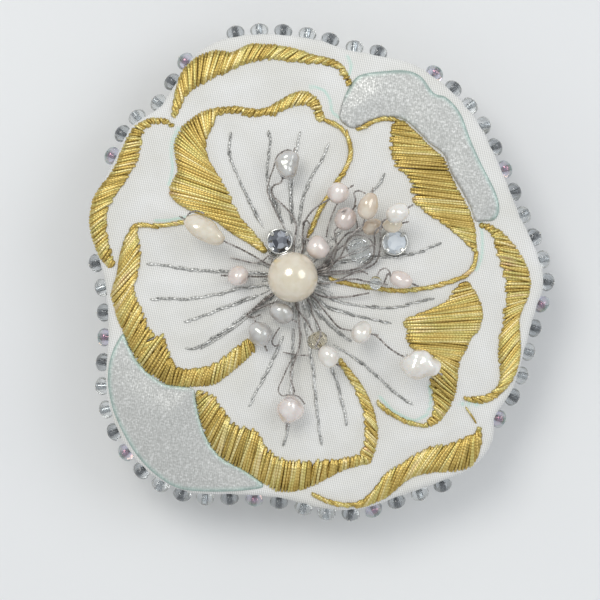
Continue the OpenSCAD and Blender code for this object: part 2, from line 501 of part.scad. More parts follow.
// a drilled bead or pearl about X: blunt 1 is an even ellipse, higher is flatter at the ends
module drilled(d, l, hole_d, blunt, steps) {
    first = asin(pow(hole_d / d, blunt));
    rotate([0, 90, 0]) rotate_extrude($fn = 48) polygon([
        for (i = [0 : steps])
            let (a = first + (180 - 2 * first) * i / steps)
            [i == 0 || i == steps ? hole_d / 2 : d / 2 * pow(sin(a), 1 / blunt), -l / 2 * cos(a)]
    ]);
}

// ================= the clip =================
module ear_plate(y, t) {
    translate([pin_x, y, pin_z]) rotate([90, 0, 0]) linear_extrude(t) children();
}

module rounded_plan(x0, x1, w, r) {
    translate([x0 + r, -w / 2]) square([x1 - x0 - 2 * r, w]);
    translate([x0, -w / 2 + r]) square([x1 - x0, w - 2 * r]);
    for (x = [x0 + r, x1 - r], y = [-w / 2 + r, w / 2 - r]) translate([x, y]) circle(r, $fn = 32);
}

upper_ear_r = jaw_below_pin;
lower_ear_r = jaw_above_pin - 0.4;
ear_gap = 0.15;
inner_w = jaw_w - 2 * sheet_t - 2 * ear_gap;   // width of the lower jaw over its ears
pin_hole_r = pin_d / 2 + fit;

module upper_jaw() color("silver") {
    translate([0, 0, upper_z]) linear_extrude(sheet_t) rounded_plan(-clip_l / 2, clip_l / 2, jaw_w, 2.5);
    for (y = [jaw_w / 2, -jaw_w / 2 + sheet_t]) ear_plate(y, sheet_t) difference() {
        union() {
            circle(upper_ear_r, $fn = 48);
            translate([-upper_ear_r, 0]) square([2 * upper_ear_r, jaw_above_pin + sheet_t / 2]);
        }
        circle(pin_d / 2 + 0.02, $fn = 48);
    }
}

front_x = -clip_l / 2 - pin_x + 0.6;   // tip of the lower jaw, from the pin
ramp_x = front_x + 19;                 // where the lower jaw starts to rise to the tip
tip_rise = jaw_gap - 1.5;
tooth_h = 1.3;
tooth_pitch = 1.8;
tooth_count = 13;
tooth_wall = 0.5;
front_w = jaw_w - 0.6;
ramp_angle = atan2(tip_rise, ramp_x - front_x);
function jaw_top(u) = -jaw_below_pin + (u < ramp_x ? (ramp_x - u) * tan(ramp_angle) : 0);

// side view of the lower jaw's strip, from the pin
module jaw_strip() {
    lever_end = [ear_front + lever_l * cos(lever_angle), -jaw_below_pin - lever_l * sin(lever_angle)];
    polygon([
        [front_x, jaw_top(front_x)], [ramp_x, jaw_top(ramp_x)], [ear_front, -jaw_below_pin], lever_end,
        lever_end + sheet_t * [-sin(lever_angle), -cos(lever_angle)],
        [ear_front - sheet_t * tan(lever_angle / 2), -jaw_below_pin - sheet_t],
        [ramp_x + sheet_t * tan(ramp_angle / 2), -jaw_below_pin - sheet_t],
        [front_x, jaw_top(front_x) - sheet_t / cos(ramp_angle)]
    ]);
}

// one edge of teeth, from the pin
module jaw_teeth() {
    for (i = [0 : tooth_count - 1]) {
        u = front_x + 2.6 + i * tooth_pitch;
        polygon([
            [u, jaw_top(u) - sheet_t / 2], [u + tooth_pitch, jaw_top(u + tooth_pitch) - sheet_t / 2],
            [u + tooth_pitch, jaw_top(u + tooth_pitch) + 0.3],
            [u + tooth_pitch * 0.5, jaw_top(u + tooth_pitch * 0.5) + tooth_h],
            [u, jaw_top(u) + 0.3]
        ]);
    }
}

module lower_jaw() color("silver") {
    neck = ear_front - 0.8;
    intersection() {
        ear_plate(jaw_w, 2 * jaw_w) jaw_strip();
        linear_extrude(back_z) translate([pin_x, 0]) {
            rounded_plan(front_x, -neck, front_w, 2.2);
            translate([-ear_front, -inner_w / 2]) square([2 * ear_front, inner_w]);
            rounded_plan(neck, tail_reach + 1, jaw_w, 1.4);
        }
    }
    for (y = [front_w / 2, -front_w / 2 + tooth_wall]) ear_plate(y, tooth_wall) jaw_teeth();
    for (y = [inner_w / 2, -inner_w / 2 + sheet_t]) ear_plate(y, sheet_t) difference() {
        union() {
            circle(lower_ear_r, $fn = 48);
            translate([-lower_ear_r, -jaw_below_pin - sheet_t / 2])
                square([2 * lower_ear_r, jaw_below_pin + sheet_t / 2]);
        }
        circle(pin_hole_r, $fn = 48);
    }
}

module hinge_pin() color("gray") translate([pin_x, 0, pin_z]) rotate([90, 0, 0]) {
    cylinder(h = jaw_w + 2 * fit, r = pin_d / 2, center = true, $fn = 48);
    for (s = [-1, 1]) translate([0, 0, s * (jaw_w / 2 + fit + 0.2)])
        cylinder(h = 0.4, r = pin_d / 2 + 0.5, center = true, $fn = 48);
}

spring_r = pin_d / 2 + 0.15 + spring_wire_d / 2;
spring_pitch = spring_wire_d + 0.12;
spring_steps = 14;                     // straight pieces in one turn
leg_u = tail_reach * 0.6;
// the spring's line from the pin: a leg under the upper jaw, the turns, and a leg along the lever
function spring_line() =
    let (
        half = spring_pitch * spring_turns / 2,
        wind = turn * (spring_turns - 0.5),
        steps = spring_steps * spring_turns,
        clear = spring_wire_d / 2 + 0.15,
        lever_w = -jaw_below_pin - (leg_u - ear_front) * tan(lever_angle) + clear / cos(lever_angle)
    )
    concat(
        [[leg_u, -half, jaw_above_pin - clear], [spring_r, -half, jaw_above_pin - clear - 0.2]],
        [for (i = [0 : steps])
            let (a = 90 + wind * i / steps)
            [spring_r * cos(a), -half + 2 * half * i / steps, spring_r * sin(a)]],
        [[ear_front - 0.4, half, -jaw_below_pin + clear + 0.05], [leg_u, half, lever_w]]
    );

module torsion_spring() color("dimgray") translate([pin_x, 0, pin_z]) tube(spring_line(), spring_wire_d, 8, [0, 1, 0]);

module clip_patch() color("ivory") {
    side = jaw_w / 2 + fit;
    wing = 10;
    patch_x = pin_x - ear_front - 8 - patch_l;
    intersection() {
        translate([patch_x, 0, 0]) rotate([90, 0, 90]) linear_extrude(patch_l) polygon([
            [-wing, back_z - fit], [-side, back_z - fit], [-side, upper_z - fit], [side, upper_z - fit],
            [side, back_z - fit], [wing, back_z - fit], [wing, back_z - backing_t],
            [side + backing_t, back_z - backing_t], [side + backing_t, upper_z - backing_t],
            [-side - backing_t, upper_z - backing_t], [-side - backing_t, back_z - backing_t],
            [-wing, back_z - backing_t]
        ]);
        linear_extrude(back_z + 1) rounded_plan(patch_x, patch_x + patch_l, 2 * wing, 3);
    }
}

// ================= the flower =================
module backing() color("ivory") translate([0, 0, back_z]) linear_extrude(backing_t)
    polygon(inset(outline, tucked_in + bead_l / 2 + backing_gap));

module stiffener() color("whitesmoke") translate([0, 0, stiffener_z]) linear_extrude(stiffener_t)
    polygon(inset(outline, fabric_t + 2 * fit));

module padding() color("white") intersection() {
    translate([0, 0, padding_z + fit]) linear_extrude(dome_top_z - padding_z) polygon(inset(outline, fabric_t + 2 * fit));
    translate([0, 0, dome_centre_z]) sphere(dome_r - fabric_t - fit, $fn = 256);
}

module face_fabric() color("ivory") {
    difference() {
        intersection() {
            translate([0, 0, hem_z]) linear_extrude(dome_top_z - hem_z + 1) polygon(outline);
            translate([0, 0, dome_centre_z]) sphere(dome_r, $fn = 256);
        }
        intersection() {
            translate([0, 0, stiffener_z]) linear_extrude(dome_top_z) polygon(inset(outline, fabric_t));
            translate([0, 0, dome_centre_z]) sphere(dome_r - fabric_t, $fn = 256);
        }
        translate([0, 0, hem_z - 1]) linear_extrude(fabric_t + 2) polygon(shrink(outline, hem_w));
    }
}

module silver_patch_upper() silver_cloth(UPPER_PATCH);
module silver_patch_lower() silver_cloth(LOWER_PATCH);

module gold_top_outer() gold() satin(TOP_OUTER);
module gold_left_outer() gold() satin(LEFT_OUTER);
module gold_right_outer() gold() satin(RIGHT_OUTER);
module gold_lower_outer() gold() {
    satin(LOWER_OUTER);
    rope(LOWER_OUTER_ROPE, rope_w);
    rope(LOWER_OUTER_THREAD, vein_w);
}
module gold_top_inner() gold() {
    satin(TOP_INNER);
    satin(TOP_INNER_BORDER);
    rope(TOP_INNER_ROPE, rope_w);
}
module gold_right_inner() gold() {
    satin(RIGHT_INNER);
    rope(RIGHT_INNER_TOP_ROPE, rope_w);
    rope(RIGHT_INNER_ROPE, rope_w);
}
module gold_lower_right_inner() gold() {
    satin(LOWER_RIGHT_INNER);
    rope(LOWER_RIGHT_ROPE, rope_w);
}
module gold_bottom_inner() gold() {
    satin(BOTTOM_INNER);
    satin(BOTTOM_INNER_SIDE);
}
module gold_left_inner() gold() {
    satin(LEFT_INNER);
    rope(LEFT_INNER_ROPE, rope_w);
}

// ================= beads =================
module at_bead(b) {
    translate([b[0], b[1], b[3] ? tucked_z : bead_z]) rotate([0, 0, b[2]]) children();
}

module glass_bead() {
    round_r = (bead_d - bead_hole_d) / 4;
    rotate([0, 90, 0]) rotate_extrude($fn = 48) translate([bead_hole_d / 2 + round_r, 0]) {
        square([2 * round_r, bead_l - 2 * round_r], center = true);
        for (s = [-1, 1]) translate([0, s * (bead_l / 2 - round_r)]) circle(round_r, $fn = 32);
    }
}

module edge_beads(glass, tint) color(tint)
    for (i = [0 : len(BEADS) - 1]) if (bead_glass(i) == glass) at_bead(BEADS[i]) glass_bead();

module bead_thread() color("whitesmoke")
    for (b = BEADS) at_bead(b) rotate([0, 90, 0])
        cylinder(h = bead_l + 0.2, r = bead_thread_d / 2, center = true, $fn = 24);

// ================= the pearl spray =================
module centre_pearl() color("antiquewhite")
    translate([spray_centre[0], spray_centre[1], dome_z(spray_centre) + centre_pearl_d / 2 + fit])
        sphere(centre_pearl_d / 2, $fn = 96);

module strung_piece(p, blunt) color(p[6])
    translate(place(p)) rotate([0, 0, p[5]]) drilled(p[3], p[4], pearl_hole_d, blunt, 14);

module spray(wires) color("dimgray")
    for (w = wires) tube(wire_line(w[0], w[1]), wire_d, 6, [0, 0, 1]);

module at_stone(s) {
    q = spread(s[1]);
    translate([q[0], q[1], dome_z(q) + spray_lift]) children();
}

module setting(s) color("silver") at_stone(s) difference() {
    cylinder(h = setting_h, r = stone_d / 2 + setting_wall, $fn = 48);
    translate([0, 0, setting_wall]) cylinder(h = setting_h, r = stone_d / 2, $fn = 48);
}

module stone(s) color(s[2]) at_stone(s) translate([0, 0, setting_wall]) {
    cylinder(h = 0.6, r1 = stone_d * 0.18, r2 = stone_d / 2 - 0.03, $fn = 48);
    translate([0, 0, 0.6]) cylinder(h = 0.2, r = stone_d / 2 - 0.03, $fn = 48);
    translate([0, 0, 0.8]) cylinder(h = 0.5, r1 = stone_d / 2 - 0.03, r2 = stone_d * 0.3, $fn = 48);
}

upper_jaw();
lower_jaw();
hinge_pin();
torsion_spring();
clip_patch();
backing();
stiffener();
padding();
face_fabric();
silver_patch_upper();
silver_patch_lower();
gold_top_outer();
gold_left_outer();
gold_right_outer();
gold_lower_outer();
gold_top_inner();
gold_right_inner();
gold_lower_right_inner();
gold_bottom_inner();
gold_left_inner();
veins(TOP_VEINS);  // veins_top
veins(RIGHT_VEINS);  // veins_right
veins(LOWER_RIGHT_VEINS);  // veins_lower_right
veins(BOTTOM_VEINS);  // veins_bottom
veins(LEFT_VEINS);  // veins_left
centre_pearl();
edge_beads(0, "azure");  // edge_beads_clear
edge_beads(1, "lightgray");  // edge_beads_grey
edge_beads(2, "lavender");  // edge_beads_iris
bead_thread();
for (p = PEARLS) strung_piece(p, 1);
for (p = CRYSTALS) strung_piece(p, 1.4);
for (s = SPRAYS) spray(s[1]);
for (s = STONES) {
    stone(s);
    setting(s);
}
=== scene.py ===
# %% [markdown]
# # A padded flower hair clip
# The object is a fabric flower about 76 mm across on a steel clip. A maker would cut and
# embroider the cloth, wrap it over wadding and card, sew beads round its edge, wire the pearls
# on and glue the clip behind. This lesson builds it in that order, and every size is in
# millimetres until the mesh is written, because a jeweller thinks in millimetres.

# %% Load the frame
import json
import math

import bpy
import numpy as np
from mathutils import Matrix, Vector
from mathutils.geometry import delaunay_2d_cdt
from mathutils.kdtree import KDTree

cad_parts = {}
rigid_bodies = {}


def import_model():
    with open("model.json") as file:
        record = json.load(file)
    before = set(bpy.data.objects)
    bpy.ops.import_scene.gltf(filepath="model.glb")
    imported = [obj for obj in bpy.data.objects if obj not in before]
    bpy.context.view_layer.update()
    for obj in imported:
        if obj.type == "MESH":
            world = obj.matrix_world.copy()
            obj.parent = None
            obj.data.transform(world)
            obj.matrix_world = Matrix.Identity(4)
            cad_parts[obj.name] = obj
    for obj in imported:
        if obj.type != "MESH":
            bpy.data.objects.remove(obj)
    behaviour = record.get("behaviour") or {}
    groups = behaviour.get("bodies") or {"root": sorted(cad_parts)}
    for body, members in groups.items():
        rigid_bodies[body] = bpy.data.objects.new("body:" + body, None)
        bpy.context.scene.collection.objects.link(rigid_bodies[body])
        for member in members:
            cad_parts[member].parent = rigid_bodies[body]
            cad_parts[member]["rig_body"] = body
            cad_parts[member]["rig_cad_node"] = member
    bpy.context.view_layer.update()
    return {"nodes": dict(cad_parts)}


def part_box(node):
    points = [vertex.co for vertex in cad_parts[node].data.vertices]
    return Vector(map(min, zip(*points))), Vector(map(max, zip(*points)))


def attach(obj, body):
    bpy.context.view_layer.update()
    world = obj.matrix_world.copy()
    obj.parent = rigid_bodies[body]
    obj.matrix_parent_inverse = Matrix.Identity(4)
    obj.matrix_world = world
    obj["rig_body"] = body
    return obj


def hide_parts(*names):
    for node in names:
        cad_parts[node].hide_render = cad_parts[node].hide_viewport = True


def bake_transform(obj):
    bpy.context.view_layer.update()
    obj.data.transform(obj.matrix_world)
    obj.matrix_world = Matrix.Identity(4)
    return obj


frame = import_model()
nodes = frame["nodes"]
MM = 0.001

# %% [markdown]
# The camera comes first, so that every later choice can be judged through it. It hangs almost
# half a metre straight above the flower with a long lens, which keeps the petals undistorted.
# A camera with no rotation looks down -Z with +Y at the top, which is the view we want.

# %% Camera
bpy.ops.object.select_all(action="DESELECT")
view_middle, view_width, view_away = (-3.42, -4.48, 15.0), 96.0, 450.0
bpy.ops.object.camera_add(
    location=(view_middle[0] * MM, view_middle[1] * MM, (view_middle[2] + view_away) * MM)
)
camera = bpy.context.object
camera.name = "camera"
camera.data.lens = camera.data.sensor_width * view_away / view_width
camera.data.clip_start = 0.01
bpy.context.scene.camera = camera
print("lens", round(camera.data.lens, 1), "mm")

# %% [markdown]
# A shader is a tree of nodes. One helper adds a node with its settings and links, and another
# starts a material. Colours are written as a painter would pick them, in sRGB hex, and turned
# into the linear numbers that light is worked out in.

# %% Colours and nodes
def colour(hex_code):
    """A colour written as sRGB hex, as the linear numbers that a shader uses."""
    parts = [int(hex_code[i : i + 2], 16) / 255 for i in (1, 3, 5)]
    return [c / 12.92 if c <= 0.04045 else ((c + 0.055) / 1.055) ** 2.4 for c in parts] + [1.0]


def add_node(tree, kind, inputs=None, **settings):
    """Adds one node. inputs are numbers, colours or other nodes' outputs, by socket.

    stops are a colour ramp's places and colours, and the other settings are the node's own.
    """
    node = tree.nodes.new("ShaderNode" + kind)
    stops = settings.pop("stops", [])
    for name, value in settings.items():
        setattr(node, name, value)
    while len(stops) > len(node.color_ramp.elements if stops else []):
        node.color_ramp.elements.new(0.5)
    for element, (at, hex_code) in zip(node.color_ramp.elements if stops else [], stops):
        element.position, element.color = at, colour(hex_code)
    for socket, value in (inputs or {}).items():
        if isinstance(value, bpy.types.NodeSocket):
            tree.links.new(value, node.inputs[socket])
        else:
            node.inputs[socket].default_value = value
    return node


def new_material(name, hex_code, **sockets):
    """A material with its shader's constant values set on the shader's own sockets."""
    material = bpy.data.materials.new(name)
    material.use_nodes = True
    tree = material.node_tree
    shader = tree.nodes["Principled BSDF"]
    shader.inputs["Base Color"].default_value = colour(hex_code)
    for socket, value in sockets.items():
        shader.inputs[socket.replace("_", " ")].default_value = value
    return material, tree, shader


def bands(size_mm):
    """Scale of a wave texture whose bands are size_mm apart on a piece in metres."""
    return 2 * math.pi / (20 * size_mm * MM)


def spots(size_mm):
    """Scale of a noise texture whose blobs are about size_mm across."""
    return 1 / (size_mm * MM)


print("white as linear:", colour("#ffffff")[:3])

# %% [markdown]
# Small shiny things need large soft lights. One big panel hangs up and to the left for the
# highlights on the pearls, a second on the right lifts the shade, and a pale world fills in
# the rest. The panels are round, because their shape shows in every pearl. The floor is a
# plain pale sheet of paper, very slightly mottled, so that it doesn't look computed.

# %% Lights and floor
# Matt paper: it gives the eye a soft shadow and no reflection.
paper, tree, shader = new_material("matt_studio_paper", "#e8e9ea", Roughness=0.9)
place = add_node(tree, "TexCoord").outputs["Object"]
mottle = add_node(tree, "TexNoise", {"Vector": place, "Scale": spots(90), "Detail": 2.0})
tint = add_node(
    tree, "ValToRGB", {"Fac": mottle.outputs["Fac"]}, stops=[(0.3, "#e6e7e8"), (0.7, "#ebecec")]
)
tree.links.new(tint.outputs["Color"], shader.inputs["Base Color"])
bpy.ops.mesh.primitive_plane_add(size=2.4, location=(0, 0, 0))
floor = bpy.context.object
floor.name = "floor"
floor.data.materials.append(paper)


def add_panel(name, place_mm, size_mm, watts, tint="#ffffff"):
    """A round studio light aimed at the flower."""
    bpy.ops.object.light_add(type="AREA", location=[v * MM for v in place_mm])
    lamp = bpy.context.object
    lamp.name = name
    lamp.data.shape = "DISK"
    lamp.data.size = size_mm * MM
    lamp.data.energy = watts
    lamp.data.color = colour(tint)[:3]
    lamp.rotation_euler = (Vector((0, 0, 15 * MM)) - lamp.location).to_track_quat("-Z", "Y").to_euler()
    return lamp


add_panel("key_panel", (-260, 330, 760), 420, 2.2, "#fffdf8")
add_panel("fill_panel", (520, 160, 620), 500, 1.2, "#f6f9ff")
world = bpy.context.scene.world or bpy.data.worlds.new("studio")
bpy.context.scene.world = world
world.use_nodes = True
sky = world.node_tree.nodes["Background"]
sky.inputs["Color"].default_value = colour("#f4f7fa")
sky.inputs["Strength"].default_value = 0.68
bpy.context.scene.view_settings.view_transform = "Standard"

# %% [markdown]
# Every line on the flower was first drawn on squared paper. The points below are that
# drawing. Catmull-Rom curves run through them, as a French curve would, and the drawing's own
# middle is taken off so that the flower sits centred over its clip.

# %% Curves through drawn points
DRAWN_MIDDLE = np.array([0.46, 0.08])


def spline_at(a, b, c, d, t):
    """A place between b and c, a share t of the way, on a Catmull-Rom curve."""
    return 0.5 * (2 * b + (c - a) * t + (2 * a - 5 * b + 4 * c - d) * t**2 + (3 * b - a - 3 * c + d) * t**3)


def closed_curve(points, n):
    """A smooth closed line with n places for each of its points."""
    p = np.asarray(points, float)
    m = len(p)
    return np.array(
        [
            spline_at(p[i - 1], p[i], p[(i + 1) % m], p[(i + 2) % m], j / n)
            for i in range(m)
            for j in range(n)
        ]
    )


def open_curve(points, n):
    """A smooth open line with n places for each of its points."""
    p = np.asarray(points, float)
    m = len(p)
    line = [
        spline_at(p[max(i - 1, 0)], p[i], p[i + 1], p[min(i + 2, m - 1)], j / n)
        for i in range(m - 1)
        for j in range(n)
    ]
    return np.array(line + [p[-1]])


def even(line, count=None, step=None, closed=False):
    """The line again, with its places the same distance apart."""
    line = np.asarray(line, float)
    if closed:
        line = np.vstack([line, line[:1]])
    run = np.concatenate([[0], np.cumsum(np.linalg.norm(np.diff(line, axis=0), axis=1))])
    count = count or max(2, int(round(run[-1] / step)) + 1)
    at = np.linspace(0, run[-1], count + 1)[:-1] if closed else np.linspace(0, run[-1], count)
    return np.stack([np.interp(at, run, line[:, k]) for k in range(line.shape[1])], 1)


def on_flower(points):
    """Drawn points moved onto the flower."""
    return np.asarray(points, float) - DRAWN_MIDDLE


OUTLINE = on_flower([
    (0, 37.4), (-8, 38.4), (-15, 37.6), (-20, 34.8), (-23, 30.4), (-25.6, 26.6), (-30, 23.6),
    (-32.4, 19), (-34.4, 15), (-36.6, 11.4), (-36.8, 7), (-35.4, 2.4), (-34.2, -2.5), (-33.8, -10),
    (-34.2, -17.5), (-33.2, -23), (-30.6, -28.4), (-26.4, -32.8), (-20.5, -35.4), (-13, -35.7),
    (-6, -36.3), (1, -38), (7, -38), (13, -36), (19.5, -33.7), (25.2, -31), (28, -27),
    (28.5, -23), (31.2, -18.8), (33, -13), (34.6, -7), (36.2, -1.5), (34.8, 4), (32.4, 9),
    (30.2, 14.5), (27.8, 20), (24.8, 25.3), (20.4, 30), (15.2, 33.4), (9, 35), (4, 36),
])
outline = even(closed_curve(OUTLINE, 16), count=640, closed=True)
print(
    "outline length",
    round(float(np.linalg.norm(np.diff(outline, axis=0, append=outline[:1]), axis=1).sum()), 1),
    "mm",
)

# %% [markdown]
# Satin stitch is a row of side-by-side threads between two edges. Each row of four numbers is
# one stitch of the drawing: from (x, y) on the inner edge to (x, y) on the outer edge. Thin
# outlines are single lines instead.

# %% Gold columns and lines
SATIN = {
    "gold_top_outer": [[
        (-22.9, 24.6, -23.5, 25.2), (-22.2, 26.2, -22.9, 28.5), (-21.2, 28.2, -21.8, 32.2),
        (-19.6, 29.6, -19.4, 34.6), (-17.6, 30.6, -16.4, 35.6), (-15.2, 31.7, -13.6, 35.4),
        (-12.6, 32.9, -10.8, 36.6), (-9.6, 33.9, -7.6, 36.5), (-6.4, 34, -4, 35.9),
        (-3, 33.6, -0.8, 34.8), (0.8, 33.3, 2.4, 34), (2.9, 32.5, 4.2, 32.8), (4.5, 29.6, 5.4, 30.4),
    ]],
    "gold_left_outer": [[
        (-23.1, 23, -23.4, 23.7), (-24.4, 23.8, -24.6, 24.6), (-26.4, 23.7, -27.4, 24.6),
        (-28, 22.4, -29.8, 23), (-28.3, 20.6, -31.4, 20), (-28.7, 18.6, -32.2, 18),
        (-29.8, 16.3, -33.6, 15.4), (-31.5, 13.8, -35.8, 12.4), (-33.2, 11.2, -36.6, 9.4),
        (-33.9, 8.6, -36.5, 6.4), (-33.7, 5.8, -35.6, 3.6), (-33.1, 3.4, -34.5, 1.6),
        (-32.7, 1.8, -33.4, 0.6),
    ]],
    "gold_right_outer": [[
        (25.8, 7.2, 25.8, 7.9), (26.6, 7, 27.4, 7.7), (27.6, 6, 29.4, 6.4), (28.2, 4, 31.6, 4),
        (28.8, 1.8, 33.2, 1.4), (29.4, -0.6, 33.9, -0.8), (29.8, -3.2, 33.8, -3.2),
        (29.6, -6.2, 32.8, -5.4), (29.2, -8.8, 32.1, -7.2), (28.7, -12, 32.2, -9.6),
        (28.9, -15, 32.3, -12.8), (29, -17.4, 31.4, -16.4), (28, -18.9, 29.2, -19.4),
        (25.4, -19.9, 26.4, -20.9), (23.2, -19.8, 23.4, -20.4),
    ]],
    "gold_lower_outer": [[
        (25.4, -24.7, 25.9, -24.8), (25.2, -25.6, 25.8, -28.2), (24.2, -26.1, 24.4, -31.1),
        (22.6, -26.7, 21.6, -31.9), (20.4, -27.4, 18.8, -32), (17.6, -28, 15.8, -32.5),
        (15.2, -29.3, 13.8, -33.4), (13, -30.6, 12, -35), (11, -31.8, 10.4, -36.2),
        (9.9, -33.6, 8.6, -37), (8.4, -35.4, 6.8, -37.6), (6.6, -36.9, 5.6, -37.6),
    ]],
    "gold_top_inner": [[
        (-8, 3.4, -9, 3.2), (-8.8, 4.4, -11.2, 4.8), (-10.2, 6.2, -14, 6.4), (-12, 8.2, -17, 8.6),
        (-13.2, 10.2, -21.4, 10.4), (-14.2, 12.4, -23.6, 12.2), (-15.2, 14.2, -23.7, 14),
        (-16.4, 16, -22.6, 16.2), (-17.4, 17.6, -22.9, 18.2), (-17.9, 19, -23.1, 20.2),
        (-18, 20.2, -22.6, 22.2), (-17.8, 21.4, -21.4, 23.8), (-17.4, 22.6, -19.6, 25.2),
        (-16.8, 23.8, -17.8, 26), (-16.2, 25, -16.2, 26.4),
    ], [
        (-16.6, 25, -16.2, 26.4), (-14, 25.5, -13, 26.5), (-11.5, 24.9, -10.5, 26.2),
        (-9.5, 24.9, -8.6, 26.2), (-7.2, 25.1, -6.2, 27.4), (-5, 26.2, -3.6, 28.8),
        (-3.2, 26.6, -1.6, 28.9), (-1.4, 26.6, 0.2, 27.4), (-0.8, 25.4, 0.7, 25.8), (0, 24, 1.2, 24.7),
    ]],
    "gold_right_inner": [[
        (12, 24, 13.6, 24.2), (11.4, 22.4, 16.2, 21.8), (11.2, 20.6, 18, 20), (11.6, 18.6, 20, 18.2),
        (12.6, 16.6, 21, 16), (14.4, 15.2, 21.8, 14.2), (14.6, 13.4, 22.8, 12.4),
        (15, 11.4, 23.8, 10.6), (17, 9.6, 24.6, 8.6), (19.6, 7.9, 25, 7), (22, 6.2, 25.2, 5.4),
        (24, 4.4, 25.3, 4), (24.7, 3.2, 25.4, 3),
    ]],
    "gold_lower_right_inner": [[
        (22.8, -1.9, 24, -1.6), (21.4, -3, 24.9, -2.8), (19.9, -5, 25.8, -4.6),
        (16.6, -6.4, 26.2, -6), (13.6, -7.7, 26.2, -7.4), (13.9, -9.4, 25.7, -9.2),
        (14.1, -11, 24.4, -10.6), (14.8, -12, 23.8, -12), (18, -12.8, 22.9, -13.6),
        (18.6, -14.6, 22.4, -15.4), (17.8, -16.6, 22.2, -17.4), (17.9, -18.4, 21.9, -19.4),
        (18.3, -20.4, 21.2, -21.2), (18.2, -22.2, 20.2, -22.8), (17.4, -23.6, 18.8, -24.2),
        (16.6, -24, 17.2, -24.8),
    ]],
    "gold_bottom_inner": [[
        (8, -29, 8.4, -30.6), (5.6, -29.2, 5.4, -31.2), (3, -29.7, 2.6, -32.3), (0, -30, -0.6, -34),
        (-2.8, -30, -3.4, -35), (-5.4, -29.9, -6.4, -35.1), (-7.2, -29, -8.6, -34),
        (-8.6, -27.4, -10, -33), (-9.7, -25.4, -11.6, -31.9), (-11.6, -24.7, -13.6, -30.9),
        (-13.4, -24, -15.4, -29.8), (-14.6, -22.8, -17, -28.2), (-15.4, -21.5, -18, -26.2),
        (-16.2, -20.4, -18.8, -24.2), (-17, -19.5, -19.3, -22), (-18, -19, -19.6, -20.2),
        (-18.8, -18.9, -19.6, -19.3),
    ], [
        (3, -14, 3.6, -13.6), (4.6, -16.6, 5.6, -16.2), (5.9, -18.8, 7.4, -18.8),
        (6.7, -20.8, 8.5, -21.2), (7.2, -23, 9.2, -23.6), (7.3, -25.2, 9.5, -26),
        (7.1, -27.4, 9.1, -28.4), (6.4, -28.9, 8.5, -30.2),
    ]],
    "gold_left_inner": [[
        (-29.1, 7.8, -30, 6.8), (-28.9, 6.4, -31.4, 3.8), (-28.5, 4.4, -31.9, 1.6),
        (-28.4, 2.2, -32.2, -0.4), (-28.8, 0.2, -32.8, -2.4), (-29.4, -1.8, -33.2, -4),
        (-29.2, -3.6, -32.6, -5.8), (-28.4, -5.4, -32.2, -7.4), (-27.7, -7.4, -31.4, -9.2),
        (-26.4, -9.4, -30.6, -11), (-24.7, -10.4, -29.9, -12.6), (-24, -12, -29, -14.2),
        (-23.4, -13.6, -27.6, -15.9), (-22.8, -14.9, -25.8, -17), (-21, -15.2, -24, -18.1),
        (-18.6, -15.2, -21.6, -18.3), (-16.8, -14.6, -19, -18.2), (-15, -13.4, -16.4, -17.8),
        (-13.2, -12, -14, -16), (-11.8, -11, -11.8, -14.2), (-10.8, -10.4, -10, -12.6),
    ]],
}
ROPES = {
    "gold_lower_outer": [[(6.9, -36.9), (4.6, -37.2), (2, -36.8), (0.2, -36), (-1.2, -35.4)]],
    "gold_top_inner": [[
        (0.6, 24.4), (2.6, 23.7), (4.2, 22.5), (5, 20.6), (5.1, 18.6), (4.2, 16.3), (3, 14.4),
        (1.2, 11.6), (0, 9.6), (-0.8, 7.6), (-1.8, 5.4),
    ]],
    "gold_right_inner": [
        [(6, 22.6), (7.6, 23.4), (9.6, 24.4), (11.5, 24.6), (13.2, 24.1)],
        [(25, 3.4), (25, 1.6), (24.3, 0.2), (23, -0.7), (21, -1.5), (18, -2.3), (15, -2.8),
         (12, -2.9), (9.5, -2.6), (7.5, -2.3), (5, -1.9), (3, -1.4), (1.4, -1)],
    ],
    "gold_lower_right_inner": [
        [(17, -24.4), (15.5, -24.3), (13.5, -23.6), (11.5, -22.5), (10, -21.4), (9.2, -20.5)]
    ],
    "gold_left_inner": [
        [(-20, 8.2), (-22, 7.9), (-24, 7.6), (-25.5, 7.4), (-27.2, 7.5), (-28.8, 7.7), (-29.6, 7.2)]
    ],
}
THIN_GOLD = {"gold_lower_outer": [[(25.3, -24.2), (24.4, -22.8), (23.4, -21.4)]]}
print("gold pieces:", len(SATIN), "with", sum(len(v) for v in SATIN.values()), "columns")

# %% [markdown]
# The veins of each petal fan out from the middle. Each is one line of the drawing.

